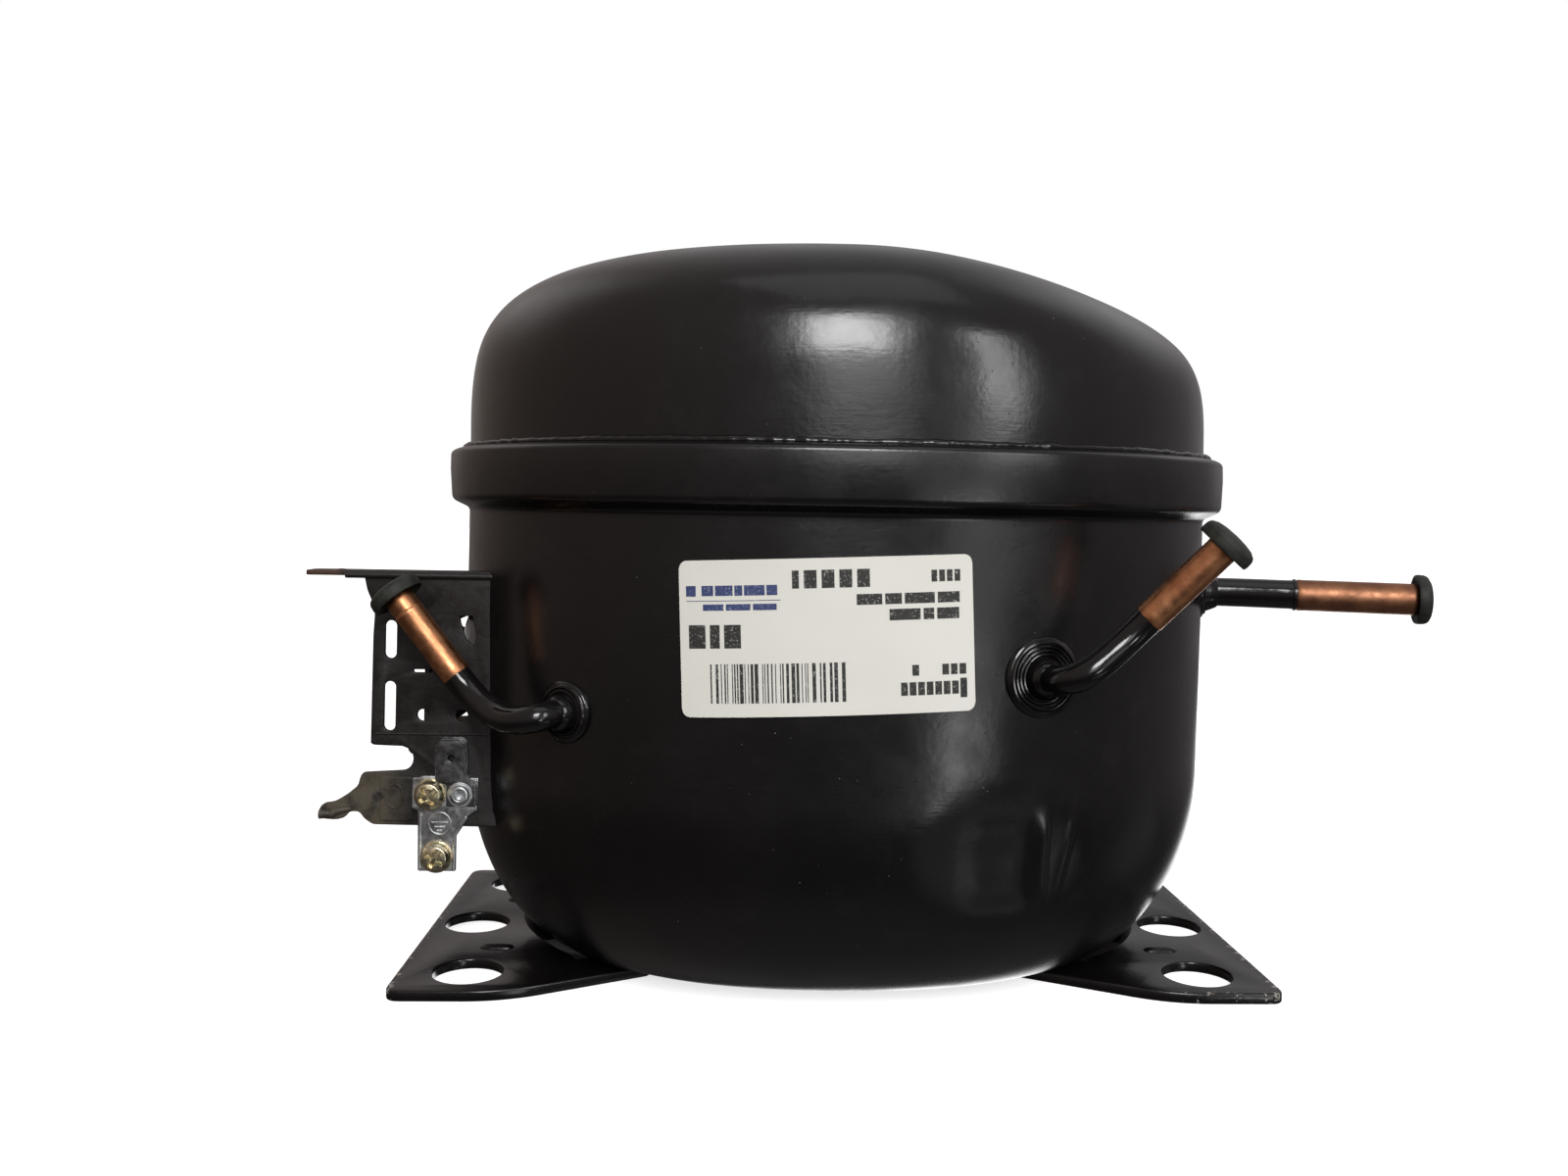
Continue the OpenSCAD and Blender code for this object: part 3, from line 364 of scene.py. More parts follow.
def metal_mat(name, light, dark, grain, rough, stretch=(1, 1, 1)):
    """A plain machined, cast or rolled metal for the sealed pieces."""
    g = Graph(name, metal=1.0)
    g.set("Base Color", g.blend(g.noise(grain * 6, 4.0, 0.6), light, dark))
    g.set("Roughness", g.span(g.noise(grain * 3, 4.0), 0.3, 0.7, rough, rough + 0.18))
    g.bump((g.noise(grain, 3.0, 0.6, g.scaled(stretch)), 0.03), (g.noise(grain * 8), 0.06))
    return g.mat


def laminations_mat():
    """The edges of stacked sheets, 0.5 mm thick, with a few dull ones."""
    g = Graph("laminations", metal=1.0)
    sheets = g.wave(1.6, 0.0, 0.0, g.where)
    tint = g.noise(0.5, 2.0, 0.5, g.scaled((0.02, 0.02, 1.0)))
    g.set("Base Color", g.blend(tint, (0.30, 0.31, 0.33), (0.14, 0.145, 0.155)))
    g.set("Roughness", g.span(tint, 0.3, 0.7, 0.35, 0.55))
    g.bump((sheets, 0.12), (g.noise(2.0), 0.02))
    return g.mat


def winding_mat():
    """Enamelled copper wire in bundles."""
    g = Graph("winding", metal=0.85)
    wires = g.wave(1.9, 2.5, 2.0, g.scaled((1.0, 1.0, 1.6)))
    g.set("Base Color", g.blend(g.noise(3, 4.0, 0.6), (0.50, 0.17, 0.06), (0.26, 0.075, 0.03)))
    g.set("Roughness", g.span(wires, 0, 1, 0.24, 0.45))
    g.bump((wires, 0.35), (g.noise(1.2, 3.0), 0.1))
    return g.mat


def plastic_mat(name, light, dark, rough=0.5, **sockets):
    g = Graph(name, **sockets)
    g.set("Base Color", g.blend(g.noise(12, 4.0, 0.6), light, dark))
    g.set("Roughness", g.span(g.noise(5, 4.0), 0.3, 0.7, rough - 0.06, rough + 0.1))
    g.bump((g.noise(0.6, 3.0), 0.02), (g.noise(8), 0.08))
    return g.mat


MATS = {
    "shell": enamel("bowl_enamel", gloss=0.25, dust=0.7),
    "cap": enamel("cap_enamel"),
    "tube": enamel("tube_enamel", gloss=0.13, peel=0.012, dust=0.4),
    "foot": enamel("foot_enamel", gloss=0.22, peel=0.04, wear=foot_wear),
    "weld": enamel("weld_enamel", gloss=0.2, peel=0.06, dust=0.7),
    "bracket": bracket_paint(),
    "copper": copper_metal("copper", (0.62, 0.29, 0.14), (0.42, 0.175, 0.085), 0.30),
    "dull_copper": copper_metal("dull_copper", (0.33, 0.155, 0.085), (0.21, 0.095, 0.055), 0.42),
    "rubber": rubber_mat(),
    "zinc": plated("zinc_plate", (0.66, 0.68, 0.69), (0.36, 0.37, 0.375), dirt=0.3),
    "dark_zinc": plated("dark_zinc", (0.20, 0.205, 0.21), (0.115, 0.12, 0.12), rough=0.2, dirt=0.3),
    "screw": plated("yellow_zinc", (0.78, 0.66, 0.44), (0.48, 0.46, 0.32), rough=0.2, dirt=0.6),
    "film": film_mat(),
    "ink": ink_mat("black_ink", (0.03, 0.03, 0.028), (0.42, 0.42, 0.40)),
    "blue_ink": ink_mat("blue_ink", (0.045, 0.06, 0.16), (0.33, 0.36, 0.45)),
    "steel": metal_mat("bare_steel", (0.52, 0.53, 0.54), (0.34, 0.345, 0.35), 0.4, 0.32),
    "ground": metal_mat("ground_steel", (0.60, 0.61, 0.62), (0.44, 0.45, 0.46), 0.2, 0.2, (0.1, 0.1, 1)),
    "iron": metal_mat("cast_iron", (0.20, 0.205, 0.21), (0.12, 0.122, 0.125), 0.9, 0.5),
    "aluminium": metal_mat("die_cast", (0.66, 0.67, 0.68), (0.52, 0.53, 0.54), 0.7, 0.36),
    "bronze": metal_mat("sintered_bronze", (0.56, 0.36, 0.17), (0.38, 0.23, 0.10), 0.3, 0.4),
    "laminations": laminations_mat(),
    "winding": winding_mat(),
    "gasket": plastic_mat("fibre_gasket", (0.035, 0.055, 0.048), (0.055, 0.075, 0.066), 0.75),
    "nylon": plastic_mat("natural_nylon", (0.74, 0.70, 0.60), (0.66, 0.62, 0.52), 0.42),
    "glass": plastic_mat("glass_bead", (0.16, 0.24, 0.22), (0.10, 0.17, 0.16), 0.12, Coat_Weight=0.6),
    "lead": plastic_mat("lead_sleeve", (0.05, 0.05, 0.052), (0.08, 0.08, 0.082), 0.5),
}

CAD_LOOKS = {
    "terminal_body": "steel", "terminal_glass": "glass", "terminal_pins": "ground",
    "crankcase": "iron", "valve_plate": "ground", "suction_reed": "ground", "discharge_reed": "ground",
    "valve_gasket": "gasket", "head_gasket": "gasket", "cylinder_head": "aluminium", "head_bolts": "steel",
    "piston": "ground", "yoke": "iron", "slide_block": "ground", "thrust_washer": "bronze",
    "crankshaft": "ground", "oil_pickup": "steel", "rotor_core": "laminations", "rotor_cage": "aluminium",
    "rotor_weight": "steel", "stator_core": "laminations", "upper_winding": "winding",
    "lower_winding": "winding", "stator_bolts": "steel", "suction_muffler": "nylon",
    "discharge_muffler": "steel", "shock_tube": "copper", "suspension_springs": "ground",
    "lower_spring_seats": "steel", "upper_spring_seats": "nylon", "motor_leads": "lead",
    "lead_connector": "nylon",
}
for node_name, look in CAD_LOOKS.items():
    cad_node = frame["nodes"][node_name]
    for slot in cad_node.material_slots:
        slot.material = MATS[look]


# ---- Mesh helpers --------------------------------------------------------------------

def piece(name, bm, look, slot, *replaces, sharp=32):
    """Makes an object from a bmesh in millimetres, riding on the casing unless it replaces a plug."""
    bmesh.ops.recalc_face_normals(bm, faces=bm.faces)
    bmesh.ops.scale(bm, vec=(MM, MM, MM), verts=bm.verts)
    mesh = bpy.data.meshes.new(name)
    bm.to_mesh(mesh)
    bm.free()
    for polygon in mesh.polygons:
        polygon.use_smooth = True
    mesh.set_sharp_from_angle(angle=math.radians(sharp))
    mesh.materials.append(MATS[look])
    obj = bpy.data.objects.new(name, mesh)
    bpy.context.scene.collection.objects.link(obj)
    body = next(b for b, nodes in frame["record"]["behaviour"]["bodies"].items() if replaces[0] in nodes)
    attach(obj, body)
    return obj


def stand_for(name, bm, look, slot, *nodes, sharp=32):
    """A piece that replaces CAD nodes."""
    obj = piece(name, bm, look, slot, *nodes, sharp=sharp)
    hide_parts(*nodes)
    return obj


def skin(bm, rings, loop=False):
    """Joins equal rings of points with quads; open ends are closed to their middle points."""
    rows = [[bm.verts.new(p) for p in ring] for ring in rings]
    n = len(rows[0])
    pairs = list(zip(rows, rows[1:])) + ([(rows[-1], rows[0])] if loop else [])
    for a, b in pairs:
        for i in range(n):
            j = (i + 1) % n
            bm.faces.new((a[i], a[j], b[j], b[i]))
    for row in () if loop else (rows[0], rows[-1]):
        middle = bm.verts.new(sum((v.co for v in row), Vector()) / n)
        for i in range(n):
            bm.faces.new((row[i], row[(i + 1) % n], middle))


def angles(steps, closed=False):
    """Equal steps round a full turn, with the first again at the end if closed."""
    return [2 * math.pi * k / steps for k in range(steps + closed)]


def basis(direction):
    """Two unit directions square to one, steady for any direction."""
    d = direction.normalized()
    a = (UP if abs(d.z) < 0.9 else Vector((1, 0, 0))).cross(d).normalized()
    return a, d.cross(a)


def turned(bm, origin, direction, profile, steps=64, wave=None):
    """A lathe shape: profile points are (radius, distance along the direction)."""
    d = direction.normalized()
    a, b = basis(d)
    rings = []
    for radius, along in profile:
        ring = []
        for t in angles(steps):
            r = max(radius, 0.001) + (wave(t, radius, along) if wave else 0.0)
            ring.append(origin + d * along + r * (math.cos(t) * a + math.sin(t) * b))
        rings.append(ring)
    skin(bm, rings)


def corner_arc(p, q, s, reach, steps):
    """Points of a small arc that cuts the corner q between p and s, as far as reach from it."""
    start, end = q + (p - q).normalized() * reach, q + (s - q).normalized() * reach
    arc = []
    for k in range(steps + 1):
        t = k / steps
        arc.append(tuple((1 - t) ** 2 * start + 2 * t * (1 - t) * q + t * t * end))
    return arc


def rounded(points, r=0.3, steps=4):
    """Rounds the corners of an open profile with small arcs."""
    made = [points[0]]
    for before, here, after in zip(points, points[1:], points[2:]):
        p, q, s = (Vector(v) for v in (before, here, after))
        made += corner_arc(p, q, s, min(r, (p - q).length * 0.45, (s - q).length * 0.45), steps)
    return made + [points[-1]]


def swept(bm, path, radius, steps=32):
    """A round rod along a path; radius is a number or a function of the part of the way along."""
    a, _ = basis(path[1] - path[0])
    rings = []
    for i, p in enumerate(path):
        t = (path[min(i + 1, len(path) - 1)] - path[max(i - 1, 0)]).normalized()
        a = (a - t * a.dot(t)).normalized()
        b = t.cross(a)
        r = radius(i / (len(path) - 1)) if callable(radius) else radius
        rings.append([p + r * (math.cos(w) * a + math.sin(w) * b) for w in angles(steps)])
    skin(bm, rings)


def circle(x, y, r, steps=28):
    return [(x + r * math.cos(t), y + r * math.sin(t)) for t in angles(steps)]


def pill(x, y, w, h, steps=20):
    """A slot with round ends."""
    r = min(w, h) / 2
    points = []
    for k in range(steps):
        t = 2 * math.pi * (k + 0.5) / steps
        points.append((x + math.copysign(w / 2 - r, math.cos(t)) + r * math.cos(t),
                       y + math.copysign(h / 2 - r, math.sin(t)) + r * math.sin(t)))
    return points


def corners_rounded(points, radii, steps=6):
    """Rounds a closed outline; radii is one number, or a dict by corner with None for the rest."""
    made = []
    n = len(points)
    for i in range(n):
        p, q, s = (Vector(points[k % n]) for k in (i - 1, i, i + 1))
        r = radii.get(i, radii.get(None, 0.0)) if isinstance(radii, dict) else radii
        reach = min(r, (p - q).length * 0.48, (s - q).length * 0.48)
        made += [tuple(q)] if reach < 0.02 else corner_arc(p, q, s, reach, steps)
    return made


def sheet_metal(outline, holes, thickness, edge, place):
    """A flat sheet with rounded edges and true holes, as a bmesh; place maps its plane into the frame."""
    curve = bpy.data.curves.new("sheet", "CURVE")
    curve.dimensions = "2D"
    curve.fill_mode = "BOTH"
    curve.extrude = thickness / 2 - edge
    curve.bevel_depth = edge
    curve.bevel_resolution = 2
    curve.offset = -edge
    for points in (outline, *holes):
        area = sum(p[0] * q[1] - q[0] * p[1] for p, q in zip(points, points[1:] + points[:1]))
        wanted = area > 0 if points is outline else area < 0
        ordered = points if wanted else points[::-1]
        spline = curve.splines.new("POLY")
        spline.points.add(len(ordered) - 1)
        for point, (x, y) in zip(spline.points, ordered):
            point.co = (x, y, 0, 1)
        spline.use_cyclic_u = True
    holder = bpy.data.objects.new("sheet", curve)
    bpy.context.scene.collection.objects.link(holder)
    mesh = bpy.data.meshes.new_from_object(holder.evaluated_get(bpy.context.evaluated_depsgraph_get()))
    bm = bmesh.new()
    bm.from_mesh(mesh)
    bmesh.ops.remove_doubles(bm, verts=bm.verts, dist=1e-4)
    bmesh.ops.transform(bm, matrix=place, verts=bm.verts)
    bpy.data.objects.remove(holder)
    bpy.data.curves.remove(curve)
    bpy.data.meshes.remove(mesh)
    return bm


def merged(*parts):
    """Several bmeshes as one."""
    whole = parts[0]
    for part in parts[1:]:
        mesh = bpy.data.meshes.new("part")
        part.to_mesh(mesh)
        part.free()
        whole.from_mesh(mesh)
        bpy.data.meshes.remove(mesh)
    return whole


def flat_at(z):
    """Places a sheet's plane level, with its middle at a height."""
    return Matrix.Translation((0, 0, z))


def upright_at(y):
    """Places a sheet's plane in X-Z, with its middle at a Y."""
    return Matrix.Translation((0, y, 0)) @ Matrix.Rotation(math.radians(90), 4, "X")


# ---- Shells ----------------------------------------------------------------------------

# Directions round the plan, 1.2 degrees apart and 0.3 apart at the scoop
SHELL_ANGLES = [math.radians(0.3 * k) for k in range(1200) if k % 4 == 0 or 967 <= k <= 1030]
SCOOP_AT = Vector((30.7, -66.4, 38.0))
SCOOP_W = 20
SCOOP_H = 18
SCOOP_DEPTH = 1.1
LIP_SIZE = 0.75
FLOOR_DEPTH = 0.6
FOLD_SIZE = 0.3
FOLD_GAP = 3.0
FOLD_SLANT = 0.2
SCOOP_TOP_Z = 62
FLAT_X0 = 24.5
FLAT_X1 = 41.0


def scoop(p):
    """How far the wall is pressed in: a dish, a flatter floor, a raised lip and a slanted fold."""
    if p.y > 0:
        return 0.0
    x, z = p.x - SCOOP_AT.x, p.z - SCOOP_AT.z
    r = math.hypot(x / SCOOP_W, z / SCOOP_H)
    dish = SCOOP_DEPTH * (1 - smooth(0.25, 1.0, r))
    side = smooth(FLAT_X0 - 4, FLAT_X0 + 4, p.x) * (1 - smooth(FLAT_X1 - 6, FLAT_X1, p.x))
    lip = smooth(FLAT_X1 - 4, FLAT_X1, p.x) * (1 - smooth(FLAT_X1, FLAT_X1 + 1.5, p.x))
    fold_x = FLAT_X1 + FOLD_GAP + FOLD_SLANT * max(z + 9, 0)
    fold = smooth(fold_x - 1.5, fold_x, p.x) * (1 - smooth(fold_x, fold_x + 1.5, p.x))
    ends = smooth(-12, -8, z) * (1 - smooth(6, 10, z))
    return dish + (FLOOR_DEPTH * side - LIP_SIZE * lip - FOLD_SIZE * fold) * ends


def shell_ring(inset, z):
    """The wall at a height, moved in by an inset, with the scoop pressed into it."""
    ring = []
    for ang in SHELL_ANGLES:
        p = plan_pt(ang, inset, z)
        ring.append(plan_pt(ang, inset + scoop(p), z) if z < SCOOP_TOP_Z else p)
    return ring


def ripple(p, amount):
    """Press marks: the wall wanders a little."""
    return amount * (wobble(p, 34) + 0.5 * wobble(p, 12, 5.0))


def make_lower_shell():
    corner_h = CORNER_Z - BOWL_Z
    outside = []
    for k in range(37):
        t = math.radians(2.5 * k)
        outside.append((WALL_DRAFT + CORNER_W * (1 - math.sin(t)), BOWL_Z + corner_h * (1 - math.cos(t))))
    outside += [(WALL_DRAFT * (85 - z) / 35, z) for z in range(52, 86, 2)]
    outside += [(0.0, z) for z in range(88, 107, 3)]
    rim = [(0.0, RIM_Z - 2), (0.0, RIM_Z + 0.2), (-RIM_OUT + 0.3, RIM_Z + 2.2),
           (-RIM_OUT - 0.1, RIM_TOP_Z - 5), (-RIM_OUT, RIM_TOP_Z - 0.9), (-0.62 * RIM_OUT, RIM_TOP_Z),
           (-SEAT_GAP, RIM_TOP_Z)]
    outside += rounded(rim[:4], 1.3, 6)[:-1] + rounded(rim[3:], 2.4, 6)
    inside = [(-SEAT_GAP, SEAT_Z), (SHELL_T, SEAT_Z), (SHELL_T, 85)]
    for k in range(15):
        t = math.radians(90 - 6 * k)
        inside.append((WALL_DRAFT + SHELL_T + (CORNER_W - SHELL_T / 2) * (1 - math.sin(t)),
                       BOWL_Z + SHELL_T + (corner_h - SHELL_T) * (1 - math.cos(t))))
    bm = bmesh.new()
    skin(bm, [shell_ring(i, z) for i, z in outside] + [shell_ring(i, z) for i, z in inside])
    for v in bm.verts:
        seat = abs(plan_r(math.atan2(v.co.y, v.co.x)) - v.co.xy.length) < 0.6 and v.co.z > SEAT_Z - 1
        if not seat:
            out = Vector((v.co.x, v.co.y, 0)).normalized()
            v.co += out * ripple(v.co, 0.10 + 0.12 * smooth(108, 113, v.co.z))
    stand_for("bowl", bm, "shell", "shell_paint", "lower_shell", sharp=40)


def cap_drop(ang, rho):
    x = rho * plan_r(ang) * math.cos(ang) / BODY_HW
    return CAP_DROP * math.sin(math.pi / 2 * x) ** 2 if x > 0 else 0.0


def cap_ring(tau, inset):
    w = math.sin(tau)
    rho = max(1 - w ** 4.2, 0.0) ** (1 / 3.3)
    ring = []
    for ang in SHELL_ANGLES:
        p = plan_pt(ang, inset) * rho
        p.z = CAP_WALL_Z + (CAP_TOP_Z - CAP_WALL_Z - inset) * w * (1 - cap_drop(ang, rho))
        ring.append(p)
    return ring


def make_upper_shell():
    taus = [math.radians(90 * (k / 70) ** 0.8) for k in range(70, -1, -1)]
    bm = bmesh.new()
    rings = [cap_ring(t, 0) for t in taus[1:]]
    rings += [shell_ring(0, SEAT_Z + 0.1), shell_ring(SHELL_T, SEAT_Z + 0.1)]
    rings += [cap_ring(math.radians(a), SHELL_T) for a in range(0, 90, 5)]
    skin(bm, rings)
    for v in bm.verts:
        out = Vector((v.co.x, v.co.y, max(v.co.z - CAP_WALL_Z, 0) * 1.5)).normalized()
        v.co += out * ripple(v.co, 0.11 * smooth(CAP_WALL_Z, CAP_WALL_Z + 9, v.co.z))
    stand_for("cap", bm, "cap", "shell_paint", "upper_shell", sharp=40)


def make_weld():
    """The bead between rim and cap: small overlapping ripples and a few blobs."""
    steps, sides = 1200, 12
    rings = []
    for ang in angles(steps):
        out = wall_dir(ang)
        p = plan_pt(ang, -0.5, RIM_TOP_Z + 0.35)
        scale = 0.9 + 0.22 * wobble(p, 2.2) + 0.22 * wobble(p, 6, 4.0) + 0.3 * wobble(p, 19, 2.0)
        rings.append([p + (out * math.cos(w) * 1.35 + UP * math.sin(w) * 0.95) * scale
                      for w in angles(sides)])
    bm = bmesh.new()
    skin(bm, rings, loop=True)
    stand_for("weld_bead", bm, "weld", "shell_paint", "seam_weld", sharp=80)


# ---- Feet --------------------------------------------------------------------------------

FOOT_X = 101
FOOT_HY = 47.5
HOLES = [(85, -35), (85, 35), (90, 0)]
HOLE_R = 8


def make_foot(name, side):
    """One pressed foot: its plate, two ribs, and the saddle that lies on the bowl."""
    inner = [(FOOT_X, -FOOT_HY), (75, -FOOT_HY), (43, -31), (46, -12), (46, 12), (43, 31),
             (75, FOOT_HY), (FOOT_X, FOOT_HY)]
    outline = corners_rounded(inner, {0: 3.5, 1: 9, 6: 9, 7: 3.5, None: 2}, 8)
    outline = [(side * x, y) for x, y in outline]
    holes = [circle(side * x, y, HOLE_R, 48) for x, y in HOLES]
    plate = sheet_metal(outline, holes, FOOT_T, 0.5, flat_at(FOOT_T / 2))
    for y in (-19, 19):
        ends = [Vector((side * x, y, FOOT_T - 0.7)) for x in (77 + 9 * k / 16 for k in range(17))]
        bead = bmesh.new()
        swept(bead, ends, lambda u: 0.2 + 1.4 * math.sqrt(max(1 - (2 * u - 1) ** 4, 0)), 20)
        plate = merged(plate, bead)
    middle = 0.0 if side > 0 else math.pi
    lines = []
    for t, z in ((15, 1.2), (15, 3.15), (22, 5.0), (30, 8.0)):
        inset = WALL_DRAFT + CORNER_W * (1 - math.sin(math.radians(t)))
        lines.append((inset, z))
    saddle = bmesh.new()
    strips = []
    loop = [(i - FOOT_T, z) for i, z in lines] + [(i - 0.1, z) for i, z in lines[::-1]]
    for k in range(33):
        ang = middle + math.radians(-24 + 1.5 * k)
        strips.append([plan_pt(ang, i, z) for i, z in loop])
    skin(saddle, strips)
    plate = merged(plate, saddle)
    stand_for(name, plate, "foot", "shell_paint", "left_foot" if side < 0 else "right_foot", sharp=40)


# ---- Tubes ---------------------------------------------------------------------------------

def stub_ends(which):
    """Both ends of a copper stub, from the record's mount on it."""
    mount = next(m for m in frame["record"]["mounts"] if m["name"] == which + "_stub_end")
    middle = Vector(mount["pos_m"]) / MM
    half = Vector(mount["axis"]) * mount["dims"]["length_mm"] / 2
    return middle - half, middle + half, mount["dims"]["r_mm"]


def bezier(p, t):
    return (1 - t) ** 3 * p[0] + 3 * t * (1 - t) ** 2 * p[1] + 3 * t * t * (1 - t) * p[2] + t ** 3 * p[3]


def make_fitting(which, tube_r):
    """Weld-in collar: a flat washer pressed into the wall, fine turned rings, and a neck."""
    ang, z = ENTRY[which]
    ang = math.radians(ang)
    p, d = plan_pt(ang, 0, z), wall_dir(ang)
    edge = 8.5 if which == "process" else 6.6
    profile = [(0, -4), (edge - 2.6, -4), (edge - 0.3, -1.4), (edge, -0.4), (edge, 0.1), (edge - 0.4, 0.45)]
    r = edge - 0.6
    while r > tube_r + 1.9:
        profile += [(r, 0.55), (r - 0.18, 0.62), (r - 0.34, 1.05), (r - 0.62, 1.1), (r - 0.72, 0.62)]
        r -= 0.85
    profile += [(r, 0.9), (r - 0.4, 1.9), (tube_r + 1.0, 2.4), (tube_r + 0.5, 3.4), (tube_r + 0.12, 3.9),
                (0, 3.9)]
    bm = bmesh.new()
    turned(bm, p, d, profile, 96, lambda t, r, a: 0.04 * math.sin(3 * t + r * 2))
    stand_for(which + "_collar", bm, "tube", "shell_paint", which + "_fitting", sharp=50)


def make_tube(which, tube_r, out, back):
    """The painted steel tube from the wall to the copper stub, slightly swollen where it is brazed."""
    ang, z = ENTRY[which]
    ang = math.radians(ang)
    wall, d = plan_pt(ang, 0, z), wall_dir(ang)
    near, far, _ = stub_ends(which)
    along = (far - near).normalized()
    bend = [wall + 2 * d, wall + out * d, near - back * along, near]
    path = [wall - (SHELL_T + 1) * d] + [bezier(bend, k / 48) for k in range(49)] + [near + along * 1.5]
    bm = bmesh.new()
    swept(bm, path, lambda u: tube_r * (1 + 0.02 * smooth(0.9, 0.98, u)), 40)
    if which == "suction":
        brazed_ring = [(0, 0), (tube_r + 0.35, 0), (tube_r + 0.35, 0.6), (0, 0.6)]
        turned(bm, near - along * 0.7, along, rounded(brazed_ring, 0.2))
    stand_for(which + "_pipe", bm, "tube", "shell_paint", which + "_tube", sharp=50)


def make_stub(which):
    """Copper stub with a bore and softened ends; only the discharge stub has a rolled bead."""
    near, far, r = stub_ends(which)
    length = (far - near).length
    bore = r - STUB_WALL
    at = length * 0.80
    profile = [(r - 0.45, 0), (r - 0.1, 0.12), (r + 0.04, 0.5), (r, 1.6)]
    if which == "discharge":
        profile += [(r, at - 0.8), (r + 0.14, at - 0.4), (r + 0.14, at), (r - 0.1, at + 0.35),
                    (r - 0.03, at + 0.8)]
    profile += [(r, length - 1.2), (r, length - 0.25), (r - 0.2, length), (bore + 0.15, length),
                (bore, length - 0.3), (bore, 4), (0, 4)]
    bm = bmesh.new()
    turned(bm, near, far - near, [(0, 0)] + profile, 72,
           lambda t, rad, a: 0.035 * math.sin(2 * t + 0.25 * a) if rad > bore + 0.3 else 0.0)
    look = "dull_copper" if which == "suction" else "copper"
    stand_for(which + "_copper", bm, look, "copper", which + "_stub", sharp=45)


def make_plug(which):
    """Rubber plug: an umbrella head over the tube's end, with a moulding lip, and a stem."""
    near, far, r = stub_ends(which)
    head_r = 6
    tilt = {"suction": 0.1, "process": 0.35, "discharge": 0.3}[which]
    stem = r - STUB_WALL - 0.2
    profile = [(0, -8), (stem - 0.8, -8), (stem, -6.8), (stem, 0.15), (r + 0.5, 0.2),
               (head_r - 0.9, -0.1 - tilt), (head_r - 0.15, -0.5 - tilt), (head_r, 0.1), (head_r - 0.1, 1.4),
               (head_r - 0.45, 2.1), (head_r - 1.6, 2.7), (2.6, 3.05), (0, 3.15)]
    bm = bmesh.new()
    turned(bm, far, far - near, rounded(profile, 0.3, 3), 80,
           lambda t, rad, a: 0.12 * math.sin(2 * t + 1) * (rad > 4.5) + 0.05 * math.sin(5 * t) * (rad > 4.5))
    stand_for(which + "_cap_plug", bm, "rubber", "rubber", which + "_plug", sharp=50)


# ---- Terminal bracket ------------------------------------------------------------------------

BRACKET_T = 1.2
BRACKET_Y = 38
bracket_low, bracket_high = node_box("terminal_bracket")
BRACKET_TOP = bracket_high.z
FLANGE_X = bracket_low.x
WALL_X = -106.8
NOTCH_X = WALL_X + 6.9
IN_SHELL_X = -79.2


def side_outline():
    """A side wall with its long low arm, as (x, z), from its top left corner round to its top right."""
    notch = [(NOTCH_X + 2.6 * math.cos(t), 52 + 2.7 * math.sin(t))
             for t in (math.radians(80 - 20 * k) for k in range(9))]
    return [
        (WALL_X - 2.5, BRACKET_TOP - 0.1), (WALL_X - 1.5, 90), (WALL_X, 86.6), (WALL_X + 0.25, 84.6),
        (WALL_X, 80), (WALL_X - 0.15, 55.4), (WALL_X + 0.6, 55), (NOTCH_X, 54.8), *notch,
        (NOTCH_X - 2, 49.2), (WALL_X - 1.8, 48.8), (WALL_X - 2.4, 47.6), (WALL_X - 2.8, 45.8),
        (WALL_X - 5.5, 43.6), (WALL_X - 8, 42.1), (WALL_X - 10.3, 41.8), (WALL_X - 11.3, 40.8),
        (WALL_X - 11.5, 39.2), (WALL_X - 10.6, 38.2), (WALL_X - 7.5, 38.0), (WALL_X - 5.6, 38.5),
        (WALL_X - 4.6, 39.9), (WALL_X - 2.4, 39.9), (WALL_X - 1.4, 38.4), (WALL_X + 0.6, 37.0),
        (IN_SHELL_X + 2, 36.6), (IN_SHELL_X, 40), (IN_SHELL_X, BRACKET_TOP - 0.1)]


